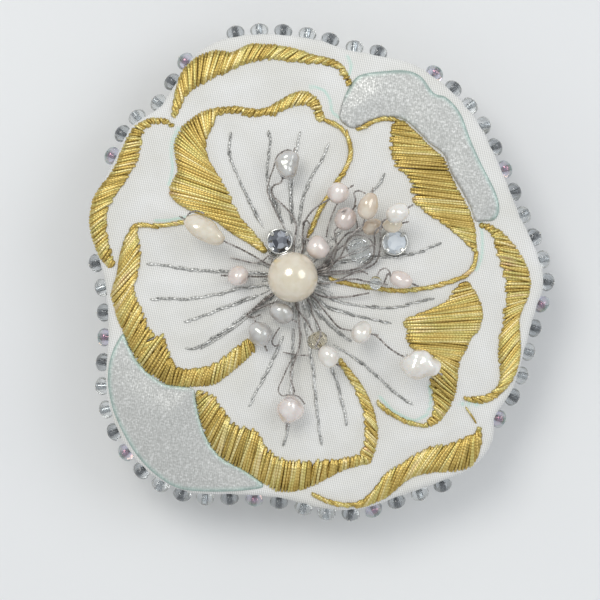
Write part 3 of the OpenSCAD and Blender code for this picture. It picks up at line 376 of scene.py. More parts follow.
# %% Silver veins
VEINS = {
    "veins_top": [
        [(-8.8, 7.2), (-9.9, 9), (-11.8, 13), (-13, 15.6), (-14.1, 18), (-14.2, 20), (-14, 22.6)],
        [(-5.7, 7.6), (-6.9, 10.4), (-8, 13.6), (-8.2, 17), (-7.8, 20), (-7.9, 22.8)],
        [(-4.2, 7.6), (-4.5, 11), (-4.5, 15), (-3.6, 19), (-3, 22.6)],
        [(-3, 7.4), (-2.7, 11), (-1.2, 15), (0.6, 18), (1.7, 20.8)],
    ],
    "veins_right": [
        [(2.2, 5), (5, 8.6), (8.6, 13), (10, 14.4), (10.5, 16)],
        [(0.6, 1.4), (4, 1.6), (8.4, 2.2), (11, 2.4), (14, 2.7), (17, 3.6), (19.6, 4.9)],
    ],
    "veins_lower_right": [
        [(0.4, -3), (3, -4.6), (6, -5.2), (9.5, -5.6), (13, -5.4), (16.4, -4.6), (18.6, -4)],
        [(0.2, -4.6), (2, -5.9), (5, -6.6), (8, -7.3), (11.8, -8.2)],
        [(-0.6, -5.6), (1.4, -8), (3.4, -9.8), (5.4, -11)],
        [(2.4, -11.6), (5, -13.2), (7.4, -14.8), (10, -17.2), (13, -19.8), (15.2, -21.2)],
    ],
    "veins_bottom": [
        [(-2.4, -7), (-1.4, -12), (-0.8, -16), (-0.5, -20), (0, -24), (0.6, -27.8)],
        [(-0.6, -7.6), (1, -12), (2.4, -16), (3.2, -18.6), (4, -21.6), (4.5, -24.6)],
        [(-4, -9), (-4.2, -14), (-4.4, -19), (-4.8, -24), (-5.6, -28)],
        [(-5.6, -10), (-7.2, -14), (-8.6, -16.6), (-10, -19), (-11.1, -21.6)],
    ],
    "veins_left": [
        [(-9, -0.2), (-13, 0.1), (-18, 0.3), (-22, 0.7), (-25, 1.2), (-27.6, 1.3)],
        [(-9, -2.2), (-13, -2.6), (-16, -3.5), (-20, -4.2), (-24, -4.2), (-27, -4.4)],
        [(-9.4, -3.6), (-13, -5), (-16, -6), (-18.6, -7), (-21.6, -8)],
        [(-8.6, -4.9), (-11.4, -6.6), (-14, -8.6), (-17, -10.6), (-19.4, -12), (-21.4, -12.3)],
    ],
}
print("veins:", sum(len(v) for v in VEINS.values()))

# %% [markdown]
# The padded flower is a shallow dome. Stitches pull the cloth down onto the wadding, and
# between them it swells a little, so the height of the cloth at a place is the dome's height
# plus a swelling that grows with the distance to the nearest stitch. A k-d tree answers
# that distance quickly.

# %% Heights of the padded surface
cloth_low, cloth_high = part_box("face_fabric")
hem_z, dome_top = cloth_low.z / MM, cloth_high.z / MM
dome_rise = 2.8
reach = float(np.linalg.norm(OUTLINE, axis=1).max())
dome_r = (reach**2 + dome_rise**2) / (2 * dome_rise)


def dome_z(q):
    """Height of the stitched surface over places (x, y)."""
    q = np.asarray(q, float)
    return dome_top - dome_r + np.sqrt(dome_r**2 - (q[..., 0] ** 2 + q[..., 1] ** 2))


def column_rails(rungs, n=6):
    """The inner and the outer edge of a column, as smooth lines."""
    rungs = np.asarray(rungs, float)
    return open_curve(on_flower(rungs[:, :2]), n), open_curve(on_flower(rungs[:, 2:]), n)


held_down = []
for columns in SATIN.values():
    for rungs in columns:
        inner, outer = column_rails(rungs)
        across = max(3, int(np.linalg.norm(outer - inner, axis=1).max() / 0.6))
        held_down += [inner + (outer - inner) * t for t in np.linspace(0, 1, across)]
for lines in (*ROPES.values(), *THIN_GOLD.values(), *VEINS.values()):
    held_down += [even(open_curve(on_flower(line), 8), step=0.4) for line in lines]
held_down = np.vstack(held_down)


def tree_of(places):
    """A k-d tree of places (x, y)."""
    tree = KDTree(len(places))
    for i, (x, y) in enumerate(places):
        tree.insert((x, y, 0), i)
    tree.balance()
    return tree


def distance_to(tree, q):
    """How far each place (x, y) is from the nearest one in the tree."""
    return np.array([tree.find((x, y, 0))[2] for x, y in q])


stitch_tree = tree_of(held_down)


def swelling(q, most=0.42, over=2.6):
    """How far the cloth stands above the dome, from how far the nearest stitch is."""
    return most * (1 - np.exp(-((distance_to(stitch_tree, q) / over) ** 2)))


print("heights in mm: hem", round(hem_z, 2), "top", round(dome_top, 2), "held places", len(held_down))

# %% [markdown]
# ## The face cloth
# A fine ivory cloth is stretched over the wadding, rolled over the rim and turned under the
# card. A grid that fans out from under the middle pearl follows the petal outline, so its
# rows can roll over the edge exactly as the cloth does. Cloth sheets are easiest as mesh code:
# rows of places, joined by quads.

# %% Grids and pieces
def grid_faces(rows, columns, closed=True, first=0):
    """Quads between rows of places; rows run one after another and may close on themselves."""
    wide = columns if closed else columns - 1
    r, c = np.meshgrid(np.arange(rows - 1), np.arange(wide), indexing="ij")
    a = first + r * columns + c
    b = first + r * columns + (c + 1) % columns
    return np.stack([a, a + columns, b + columns, b], -1).reshape(-1, 4)


def add_mesh(name, places_mm, faces, *materials):
    """A new mesh object at the origin from places in mm."""
    mesh = bpy.data.meshes.new(name)
    mesh.from_pydata((np.asarray(places_mm, float) * MM).tolist(), [], [list(map(int, f)) for f in faces])
    for material in materials:
        mesh.materials.append(material)
    piece = bpy.data.objects.new(name, mesh)
    bpy.context.scene.collection.objects.link(piece)
    mesh.polygons.foreach_set("use_smooth", [True] * len(mesh.polygons))
    return piece


def set_floats(piece, name, values):
    """One number for each vertex, which a material can read by its name."""
    attribute = piece.data.attributes.new(name, "FLOAT", "POINT")
    attribute.data.foreach_set("value", np.asarray(values, np.float32))


def only(piece):
    """Selects this piece and nothing else, as operators act on all that is selected."""
    if bpy.context.object and bpy.context.object.mode != "OBJECT":
        bpy.ops.object.mode_set(mode="OBJECT")
    bpy.ops.object.select_all(action="DESELECT")
    piece.select_set(True)
    bpy.context.view_layer.objects.active = piece


def finish_piece(piece, body="flower", replaces=()):
    """Puts the piece's place into its mesh, hangs it on its body and hides the CAD parts it replaces."""
    only(piece)
    bpy.ops.object.transform_apply(location=True, rotation=True, scale=True)
    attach(piece, body)
    if replaces:
        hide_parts(*replaces)
    print(piece.name, len(piece.data.polygons), "faces")
    return piece


def edge_normals(line):
    """Unit directions out of an anticlockwise closed line."""
    along = np.roll(line, -1, 0) - np.roll(line, 1, 0)
    along /= np.linalg.norm(along, axis=1)[:, None]
    return np.stack([along[:, 1], -along[:, 0]], 1)


out_of = edge_normals(outline)
spray_middle = on_flower((-4.1, -0.8))
print("the cloth fans out from", spray_middle.round(2))

# %% [markdown]
# The beads' places are not drawn again here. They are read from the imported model, bead by
# bead, and each hole points straight out of the nearest place on the flower's outline.

# %% Beads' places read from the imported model
def shells(node):
    """The separate closed shapes in a CAD node, each as its vertices in mm."""
    only(nodes[node])
    bpy.ops.object.duplicate()
    bpy.ops.object.mode_set(mode="EDIT")
    bpy.ops.mesh.select_all(action="SELECT")
    bpy.ops.mesh.remove_doubles(threshold=1e-7)
    bpy.ops.mesh.separate(type="LOOSE")
    bpy.ops.object.mode_set(mode="OBJECT")
    parts = list(bpy.context.selected_objects)
    found = [np.array([v.co for v in p.data.vertices]) / MM for p in parts]
    for p in parts:
        mesh = p.data
        bpy.data.objects.remove(p)
        bpy.data.meshes.remove(mesh)
    return found


bead_places = {}
for node in ("edge_beads_clear", "edge_beads_grey", "edge_beads_iris"):
    bead_places[node] = []
    for shell in shells(node):
        middle = (shell.min(0) + shell.max(0)) / 2
        nearest = int(np.argmin(np.sum((outline - middle[:2]) ** 2, 1)))
        bead_places[node].append((middle, np.array([*out_of[nearest], 0.0])))
all_beads = [b for beads in bead_places.values() for b in beads]
print("beads:", {k: len(v) for k, v in bead_places.items()})

# %% [markdown]
# The rows of the cloth run from the middle to the rim, over the rounded shoulder, down the
# side and under the card. Where a bead is sewn on, the thread pulls the side in a little.

# %% Face cloth mesh
inset_line = outline - 3.0 * out_of
cloth_rows = [spray_middle + (inset_line - spray_middle) * t for t in np.linspace(0, 1, 98)[1:]]
cloth_rows += [outline - out_of * s for s in (2.4, 1.8, 1.3)]
cloth_rows = np.array(cloth_rows)
flat_places = cloth_rows.reshape(-1, 2)
swell = swelling(flat_places).reshape(cloth_rows.shape[:2])
heights = dome_z(cloth_rows) + swell
along_edge = np.arange(len(outline)) / len(outline)
gathers = 0.05 * np.sin(along_edge * 2 * math.pi * 97) * np.sin(along_edge * 2 * math.pi * 13 + 1) ** 2
sewn = np.zeros(len(outline))
for middle, hole in all_beads:
    sewn = np.maximum(sewn, np.exp(-np.sum((outline - middle[:2]) ** 2, 1) / 3.2 + 0.5))
shoulder = heights[-1]
rows = [np.column_stack([cloth_rows[i], heights[i]]) for i in range(len(cloth_rows))]


def rim_row(inset, z):
    """A row of the cloth at a distance inside the outline."""
    return np.column_stack(
        [outline - out_of * np.reshape(inset, (-1, 1)), np.broadcast_to(z, len(outline))]
    )


for turn in np.radians([18, 36, 54, 72, 90]):
    rows.append(
        rim_row(
            1.3 - 1.22 * math.sin(turn) + gathers + 0.1 * sewn * math.sin(turn),
            shoulder - 1.3 * (1 - math.cos(turn)),
        )
    )
for t in (0.35, 0.7, 1.0):
    rows.append(
        rim_row(0.08 + gathers + (0.1 + 0.1 * t) * sewn, (shoulder - 1.3) * (1 - t) + (hem_z + 0.4) * t)
    )
for turn in np.radians([30, 60, 90]):
    rows.append(
        rim_row(
            0.08 + gathers + 0.2 * sewn + 0.4 * (1 - math.cos(turn)),
            hem_z + 0.4 * (1 - math.sin(turn)) + 0.02,
        )
    )
for inset in (1.2, 2.2, 3.4, 4.8):
    rows.append(rim_row(inset + gathers, hem_z + 0.02))
cloth_places = np.vstack([[[*spray_middle, float(dome_z(spray_middle))]], *rows])
n_round = len(outline)
fan = [(0, 1 + j, 1 + (j + 1) % n_round) for j in range(n_round)]
cloth_faces = fan + grid_faces(len(rows), n_round, first=1).tolist()
face_cloth = add_mesh("face_cloth", cloth_places, cloth_faces)
print("cloth rows", len(rows), "of", n_round)

# %% [markdown]
# Some of the marker that guided the stitching still shows beside it. Each place on the cloth
# gets an amount of ink from its distance to the nearest drawn marker line.

# %% Marker lines
MARKERS = [
    [(-23.9, 14), (-23.3, 16.4), (-23.5, 19), (-23.3, 21), (-22.4, 23)],
    [(-1.4, 29.6), (0.6, 29.2), (1.8, 27.6), (2.2, 25.6), (3.8, 24.4)],
    [(-20, 9), (-22, 8.7), (-24.2, 8.3), (-26, 8.3)],
    [(4.9, 31.6), (5.2, 33), (4.6, 34.6)],
    [(17.6, -18), (17.9, -20.4), (17.4, -22.4), (15.6, -23.6), (13.4, -23)],
    [(22.5, -21), (25, -21), (26.4, -21.2)],
    [(25.8, 8.6), (26.1, 5.6), (26, 2.6), (25.2, 0.4)],
    [(-31.8, 24), (-33, 20.4), (-34.9, 15.4), (-37, 11), (-36.6, 6)],
    [(9.8, -19.8), (11.6, -21.8), (13.6, -23)],
]
marker_points = np.vstack([even(open_curve(on_flower(m), 8), step=0.12) for m in MARKERS])
marker_tree = tree_of(marker_points)
line_half_wide = 0.26
top_count = 1 + len(cloth_rows) * n_round
ink = np.zeros(len(cloth_places))
far = distance_to(marker_tree, cloth_places[:top_count, :2])
ink[:top_count] = np.clip(1.2 - far / line_half_wide, 0, 1)
set_floats(face_cloth, "marker_ink", ink)
print("inked places", int((ink > 0.2).sum()))

# %% [markdown]
# The cloth is a plain-weave satin-faced cotton: matt, a little sheen along its threads, and a
# real thread spacing near 0.2 mm. It is drawn at 0.3 mm, because finer threads would only
# blur. Two wave textures at right angles are the warp and the weft, and the water-soluble
# marker that guided the stitches has left faint aqua lines, which come from the attribute.

# %% Ivory cloth
def weave(tree, warp_mm, weft_mm, turn, distortion=1.5):
    """Height of a plain weave from two waves across each other."""
    place = add_node(tree, "TexCoord").outputs["Object"]
    askew = {"Vector": place, "Rotation": (0, 0, math.radians(turn))}
    turned = add_node(tree, "Mapping", askew).outputs["Vector"]
    threads = []
    for size_mm, direction in ((warp_mm, "X"), (weft_mm, "Y")):
        wave = {"Vector": turned, "Scale": bands(size_mm), "Distortion": distortion}
        wave.update({"Detail": 2.0, "Detail Scale": 0.6})
        threads.append(add_node(tree, "TexWave", wave, bands_direction=direction).outputs["Fac"])
    most = add_node(tree, "Math", {0: threads[0], 1: 0.72}, operation="MULTIPLY")
    share = {0: threads[1], 1: 0.28, 2: most.outputs[0]}
    both = add_node(tree, "Math", share, operation="MULTIPLY_ADD")
    return place, both.outputs[0]


ivory_cloth, tree, shader = new_material(
    "woven_ivory_cotton",
    "#ebebe8",
    Roughness=0.78,
    Sheen_Weight=0.25,
    Sheen_Roughness=0.45,
    Specular_IOR_Level=0.35,
)
place, woven = weave(tree, 0.3, 0.36, 11)
threads = add_node(
    tree, "ValToRGB", {"Fac": woven}, stops=[(0.1, "#cfcfcd"), (0.55, "#e6e6e3"), (0.95, "#f8f7f5")]
).outputs["Color"]
patchy = add_node(tree, "TexNoise", {"Vector": place, "Scale": spots(7), "Detail": 3.0}).outputs["Fac"]
faint = add_node(tree, "ValToRGB", {"Fac": patchy}, stops=[(0.3, "#f4f3ef"), (0.7, "#ffffff")])
layers = {0: 1.0, 6: threads, 7: faint.outputs["Color"]}
threads = add_node(tree, "Mix", layers, data_type="RGBA", blend_type="MULTIPLY").outputs[2]
inked = add_node(tree, "Attribute", attribute_name="marker_ink").outputs["Fac"]
ink_share = add_node(tree, "Math", {0: inked, 1: 0.6}, operation="MULTIPLY").outputs[0]
layers = {0: ink_share, 6: threads, 7: colour("#a9dccd")}
tint = add_node(tree, "Mix", layers, data_type="RGBA", blend_type="MIX")
tree.links.new(tint.outputs[2], shader.inputs["Base Color"])
raised = add_node(tree, "Bump", {"Strength": 0.5, "Distance": 0.05 * MM, "Height": woven})
tree.links.new(raised.outputs["Normal"], shader.inputs["Normal"])
face_cloth.data.materials.append(ivory_cloth)
finish_piece(face_cloth, replaces=["face_fabric"])

# %% [markdown]
# ## Wadding and card
# Under the cloth a soft crowned pad lies on stiff card. The pad is a closed form that follows
# the cloth's swelling, half a millimetre lower, so that the two never cross. The card keeps
# its CAD shape and only gets a finish.

# %% Wadding
card_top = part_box("stiffener")[1].z / MM
pad_n = 320
pad_edge = even(outline - out_of * 0.85, count=pad_n, closed=True)
pad_rows = np.array([spray_middle + (pad_edge - spray_middle) * t for t in np.linspace(0, 1, 56)[1:-2]])
pad_high = dome_z(pad_rows) + swelling(pad_rows.reshape(-1, 2)).reshape(pad_rows.shape[:2]) - 0.5
pad = [np.column_stack([pad_rows[i], pad_high[i]]) for i in range(len(pad_rows))]
for t, drop in ((0.975, 0.12), (0.99, 0.34), (1.0, 0.7)):
    at = spray_middle + (pad_edge - spray_middle) * t
    pad.append(np.column_stack([at, np.maximum(dome_z(at) - 0.5 - drop, card_top + 0.07)]))
pad.append(
    np.column_stack([spray_middle + (pad_edge - spray_middle) * 0.992, np.full(pad_n, card_top + 0.06)])
)
pad_under = np.array([*spray_middle, card_top + 0.06])
pad_places = np.vstack([[[*spray_middle, float(dome_z(spray_middle)) - 0.5]], *pad, [pad_under]])
last = len(pad_places) - 1
pad_faces = [(0, 1 + j, 1 + (j + 1) % pad_n) for j in range(pad_n)] + grid_faces(
    len(pad), pad_n, first=1
).tolist()
pad_faces += [(last, last - pad_n + (j + 1) % pad_n, last - pad_n + j) for j in range(pad_n)]
# Wadding: rough and full of fluff, so that light sinks in and nothing on it shines.
cotton_wadding, tree, shader = new_material(
    "carded_cotton_wadding", "#f2f1ec", Roughness=0.95, Sheen_Weight=0.4
)
place = add_node(tree, "TexCoord").outputs["Object"]
fluff = add_node(
    tree, "TexNoise", {"Vector": place, "Scale": spots(0.8), "Detail": 6.0, "Roughness": 0.7}
).outputs["Fac"]
tint = add_node(tree, "ValToRGB", {"Fac": fluff}, stops=[(0.3, "#e8e6df"), (0.7, "#f7f6f2")])
tree.links.new(tint.outputs["Color"], shader.inputs["Base Color"])
raised = add_node(tree, "Bump", {"Strength": 0.6, "Distance": 0.2 * MM, "Height": fluff})
tree.links.new(raised.outputs["Normal"], shader.inputs["Normal"])
wadding = add_mesh("wadding", pad_places, pad_faces, cotton_wadding)
finish_piece(wadding, replaces=["padding"])

# %% [markdown]
# The card is a smooth white board with a faint mottle of fibres. The cloth covers it.

# %% Card
white_card, tree, shader = new_material("calendered_white_card", "#eceae2", Roughness=0.7)
place = add_node(tree, "TexCoord").outputs["Object"]
fibres = add_node(tree, "TexNoise", {"Vector": place, "Scale": spots(0.6), "Detail": 4.0}).outputs["Fac"]
tint = add_node(tree, "ValToRGB", {"Fac": fibres}, stops=[(0.35, "#e3e0d6"), (0.65, "#f0eee8")])
tree.links.new(tint.outputs["Color"], shader.inputs["Base Color"])
raised = add_node(tree, "Bump", {"Strength": 0.3, "Distance": 0.03 * MM, "Height": fibres})
tree.links.new(raised.outputs["Normal"], shader.inputs["Normal"])


def clothe_node(node, material):
    """Gives a CAD node a finish without touching its mesh."""
    piece = nodes[node]
    for slot in piece.material_slots:
        slot.material = material
    if not piece.material_slots:
        piece.data.materials.append(material)


clothe_node("stiffener", white_card)
print("card keeps its CAD shape")

# %% [markdown]
# ## Silver cloth patches
# Two patches of silver lame lie under the embroidery. Each is cut to a closed outline, so it is
# filled with small triangles that follow the padded surface, and then given its thickness.
# Lame is a woven metal-coated film: grey, glittering in tiny flecks, with upright thread lines
# about a third of a millimetre apart. The glitter is painted into its colour as bright painted glints.

# %% Silver patches
PATCHES = {
    "silver_patch_upper": [
        (5.6, 30.6), (7, 31.6), (10.5, 32.1), (14, 32.2), (16.4, 31.2), (18.4, 28.6), (20.4, 27.9),
        (22.6, 25.4), (24.2, 21.2), (26, 17.2), (28.2, 12.8), (28.8, 10), (28, 8.4), (26.4, 8.2),
        (25, 8.2), (24.4, 10), (22.9, 12.9), (21.2, 15.8), (20, 18.8), (17.7, 20.6), (16, 22.4),
        (13.6, 24.4), (11, 24.8), (8.6, 24.3), (6.6, 23.4), (5.2, 23), (3.4, 24.4), (3.6, 26.4),
        (4.4, 28.6),
    ],
    "silver_patch_lower": [
        (-31.3, -9.8), (-32.8, -12.4), (-33.5, -15), (-33.6, -18), (-32.8, -22), (-30.8, -26.4),
        (-28.4, -30), (-25.4, -32.8), (-22, -34.6), (-17, -35), (-12, -34.8), (-8.8, -34.2),
        (-10.2, -32.8), (-12.6, -31.2), (-15, -30), (-17, -28), (-18.2, -25.8), (-19, -23.4),
        (-19.6, -20.6), (-20, -18.6), (-22, -18.2), (-24.6, -17.8), (-27, -16.2), (-29, -14.2),
        (-30.2, -12), (-30.8, -10.6),
    ],
}


def fill_outline(edge, step):
    """Triangles inside a closed line, with rows of places step apart."""
    low, high = edge.min(0), edge.max(0)
    xs = np.arange(low[0], high[0], step)
    ys = np.arange(low[1], high[1], step * 0.87)
    inside = [(x + (step / 2 if k % 2 else 0), y) for k, y in enumerate(ys) for x in xs]
    ring = edge.tolist()
    tree = tree_of(ring)
    inside = [p for p in inside if tree.find((*p, 0))[2] > step * 0.55]
    verts, _, faces, *_ = delaunay_2d_cdt(
        [Vector(p) for p in ring + inside], [], [list(range(len(ring)))], 1, 1e-6
    )
    return np.array([tuple(v) for v in verts]), [list(f) for f in faces]


silver_lame, tree, shader = new_material("woven_silver_lame", "#b9bab6", Metallic=0.6, Roughness=0.5)
place, woven = weave(tree, 0.32, 0.42, 9, 2.6)
flecks = add_node(tree, "TexNoise", {"Vector": place, "Scale": spots(0.34), "Detail": 2.0}).outputs["Fac"]
cross = add_node(tree, "ValToRGB", {"Fac": woven}, stops=[(0.1, "#b2b3b0"), (0.9, "#d0d1ce")])
# Painted glints: tiny flecks of the colour run up to near white where the film would sparkle.
painted_glint_stops = [(0.35, "#acadaa"), (0.55, "#c6c7c4"), (0.74, "#f6f6f4")]
painted_glints = add_node(tree, "ValToRGB", {"Fac": flecks}, stops=painted_glint_stops)
layers = {0: 0.6, 6: cross.outputs["Color"], 7: painted_glints.outputs["Color"]}
base = add_node(tree, "Mix", layers, data_type="RGBA", blend_type="MIX").outputs[2]
edge_ink = add_node(tree, "Attribute", attribute_name="marker_ink").outputs["Fac"]
tint = add_node(
    tree, "Mix", {0: edge_ink, 6: base, 7: colour("#b4ddd0")}, data_type="RGBA", blend_type="MIX"
)
tree.links.new(tint.outputs[2], shader.inputs["Base Color"])
polish = add_node(
    tree, "MapRange", {"Value": flecks, "From Min": 0.3, "From Max": 0.7, "To Min": 0.62, "To Max": 0.4}
)
tree.links.new(polish.outputs[0], shader.inputs["Roughness"])
height = add_node(tree, "Math", {0: woven, 1: flecks}, operation="ADD")
raised = add_node(tree, "Bump", {"Strength": 0.3, "Distance": 0.04 * MM, "Height": height.outputs[0]})
tree.links.new(raised.outputs["Normal"], shader.inputs["Normal"])

for name, drawn in PATCHES.items():
    edge = even(closed_curve(on_flower(drawn), 8), step=0.5, closed=True)
    flat, faces = fill_outline(edge, 0.55)
    z = dome_z(flat) + swelling(flat) + 0.06
    patch = add_mesh(name + "_cloth", np.column_stack([flat, z]), faces, silver_lame)
    edge_tree = tree_of(edge)
    outer = np.array([max(np.linalg.norm(edge[edge_tree.find((x, y, 0))[1]]) - 27, 0) for x, y in flat])
    near = distance_to(edge_tree, flat)
    set_floats(patch, "marker_ink", np.clip(1.1 - near / 0.6, 0, 1) * np.clip(outer / 2, 0, 1) * 0.55)
    only(patch)
    wall = patch.modifiers.new("thickness", "SOLIDIFY")
    wall.thickness, wall.offset = 0.1 * MM, 1.0
    bpy.ops.object.modifier_apply(modifier=wall.name)
    finish_piece(patch, replaces=[name])

# %% [markdown]
# ## One stitch
# All the embroidery is one shape, repeated: a flattened thread that rises out of the cloth,
# lies across it and dives back in. It starts as a six-sided cylinder lying along X, is cut
# into rings by bisecting, and its end rings are moved down into the cloth. It has only 80
# triangles, because it is copied more than two thousand times.

# %% Model the stitch
bpy.ops.object.select_all(action="DESELECT")
bpy.ops.mesh.primitive_cylinder_add(
    vertices=6, radius=0.5, depth=1, location=(0.5, 0, 0), rotation=(0, math.pi / 2, 0)
)
stitch = bpy.context.object
stitch.name = "stitch_pattern"
bpy.ops.object.transform_apply(location=True, rotation=True, scale=True)
bpy.ops.object.mode_set(mode="EDIT")
for cut in (0.1, 0.3, 0.5, 0.7, 0.9):
    bpy.ops.mesh.select_all(action="SELECT")
    bpy.ops.mesh.bisect(plane_co=(cut, 0, 0), plane_no=(1, 0, 0))


def pick(piece, test):
    """Selects the vertices of a piece in edit mode that pass a test of their place."""
    bpy.ops.mesh.select_all(action="DESELECT")
    bpy.ops.object.mode_set(mode="OBJECT")
    for v in piece.data.vertices:
        v.select = bool(test(v.co))
    bpy.ops.object.mode_set(mode="EDIT")


bpy.ops.mesh.select_mode(type="VERT")
for at, lower, thinner in ((0.0, -1.15, 0.55), (1.0, -1.15, 0.55), (0.1, -0.12, 0.9), (0.9, -0.12, 0.9)):
    pick(stitch, lambda co: abs(co.x - at) < 1e-4)
    bpy.ops.transform.resize(value=(1, thinner, thinner), center_override=(at, 0, 0))
    bpy.ops.transform.translate(value=(0, 0, lower))
bpy.ops.object.mode_set(mode="OBJECT")


def pattern_of(piece):
    """A modelled shape as arrays, so that it can be copied many times into one mesh."""
    mesh = piece.data
    return (
        np.array([v.co for v in mesh.vertices], float),
        [list(p.vertices) for p in mesh.polygons],
        [p.material_index for p in mesh.polygons],
    )


def put_away(piece):
    """Takes a pattern's object away once its arrays are kept."""
    mesh = piece.data
    bpy.data.objects.remove(piece)
    bpy.data.meshes.remove(mesh)


STITCH = pattern_of(stitch)
put_away(stitch)
print("stitch pattern:", len(STITCH[0]), "vertices")

# %% [markdown]
# Laying a stitch stretches the pattern between two places. The ends keep the same short dive
# however long the stitch is, and every vertex takes its height from the dome, so a long
# stitch bends with the flower. A seeded random generator gives each stitch its own shade.

# %% Lay stitches
rng = np.random.default_rng(41)


def lay_stitches(starts, ends, wide, high, lift, bow=0.0):
    """Copies the stitch between places (x, y) in mm; returns vertices, faces, shade and way along."""
    starts, ends = np.asarray(starts, float), np.asarray(ends, float)
    count = len(starts)
    pattern, faces, _ = STITCH
    way = ends - starts
    length = np.maximum(np.linalg.norm(way, axis=1), 1e-6)
    way /= length[:, None]
    side = np.stack([-way[:, 1], way[:, 0]], 1)
    dive = np.minimum(0.34, 0.3 * length)[:, None]
    x = pattern[None, :, 0]
    far_end = length[:, None] - (1 - x) / 0.1 * dive
    between = dive + (x - 0.1) / 0.8 * (length[:, None] - 2 * dive)
    along = np.where(x < 0.1, x / 0.1 * dive, np.where(x > 0.9, far_end, between))
    wide = np.broadcast_to(wide, count)[:, None] * pattern[None, :, 1]
    bend = np.broadcast_to(bow, count)[:, None] * np.sin(np.pi * along / length[:, None])
    flat = starts[:, None] + way[:, None] * along[..., None] + side[:, None] * (wide + bend)[..., None]
    tall = np.broadcast_to(high, count)[:, None] * pattern[None, :, 2]
    z = dome_z(flat) + np.broadcast_to(lift, count)[:, None] + tall
    places = np.concatenate([flat, z[..., None]], 2).reshape(-1, 3)
    step = len(pattern)
    all_faces = [[v + i * step for v in f] for i in range(count) for f in faces]
    shade = np.repeat(rng.random(count), step)
    return places, all_faces, shade, along.reshape(-1)


def line_stitches(drawn, stitch_mm, step_mm, slant_mm, wander=0.0):
    """Stem stitch along a drawn line: each stitch starts beside the one before it."""
    line = even(open_curve(on_flower(drawn), 10), step=0.1)
    run = np.arange(len(line)) * 0.1
    total = run[-1]
    begins = np.arange(0, max(total - stitch_mm * 0.6, step_mm), step_mm)
    stops = np.minimum(begins + stitch_mm, total)
    a = np.stack([np.interp(begins, run, line[:, k]) for k in (0, 1)], 1)
    b = np.stack([np.interp(stops, run, line[:, k]) for k in (0, 1)], 1)
    way = b - a
    way /= np.maximum(np.linalg.norm(way, axis=1), 1e-6)[:, None]
    side = np.stack([-way[:, 1], way[:, 0]], 1)
    drift = rng.normal(0, wander, (len(a), 1)) if wander else 0.0
    return a + side * (slant_mm + drift), b - side * (slant_mm - drift)


LEAN = {
    # how far a column's inner ends lie ahead of its outer ends, in mm, at shares of its run
    "gold_top_inner": ([(0, 0), (0.2, -2), (0.45, -4), (0.8, -5), (1, -2)], None),
    "gold_left_inner": ([(0, 0), (0.15, -2.5), (0.5, -3.6), (0.75, -2), (0.9, 0), (1, 0)],),
    "gold_lower_right_inner": (
        [(0, 0), (0.12, 2.5), (0.3, 0.5), (0.5, -1.5), (0.75, -2.8), (0.92, -1), (1, 0)],
    ),
    "gold_right_outer": ([(0, 0), (0.2, -1), (0.45, 1), (0.65, 2.6), (0.85, 1.2), (1, 0)],),
    "gold_lower_outer": ([(0, 0), (0.2, -1.6), (0.7, -2.2), (1, 0)],),
    "gold_bottom_inner": (None, [(0, 0), (0.2, -1.8), (0.8, -1.8), (1, 0)]),
}


def column_stitches(rungs, spacing=0.5, lean=None):
    """Satin stitches across a column, ragged on the inner edge and even on the outer one."""
    inner, outer = column_rails(rungs, 16)
    run_in = np.concatenate([[0], np.cumsum(np.linalg.norm(np.diff(inner, axis=0), axis=1))])
    run_out = np.concatenate([[0], np.cumsum(np.linalg.norm(np.diff(outer, axis=0), axis=1))])
    both = run_in / run_in[-1] * 0.5 + run_out / run_out[-1] * 0.5
    count = int(max(run_in[-1], run_out[-1]) / spacing)
    at = (np.arange(count) + 0.5 + rng.normal(0, 0.12, count)) / count
    ahead = rng.normal(0, 0.26, count)
    if lean:
        ahead = ahead + np.interp(at, *zip(*lean))
    a = np.stack(
        [np.interp(at + ahead / max(run_in[-1], run_out[-1]), both, inner[:, k]) for k in (0, 1)], 1
    )
    b = np.stack([np.interp(at, both, outer[:, k]) for k in (0, 1)], 1)
    length = np.linalg.norm(b - a, axis=1)
    way = (b - a) / length[:, None]
    tight = np.gradient(np.interp(at, both, run_in)) < 0.27
    later = np.where(tight & (np.arange(count) % 2 == 1), rng.uniform(0.18, 0.38, count), 0) * length
    ragged = rng.normal(0, 0.16, count) + later
    ragged = np.minimum(ragged, length * 0.4)
    return a + way * ragged[:, None], b + way * rng.normal(0, 0.05, count)[:, None]


print("a 2 mm stitch has", len(STITCH[1]), "faces")
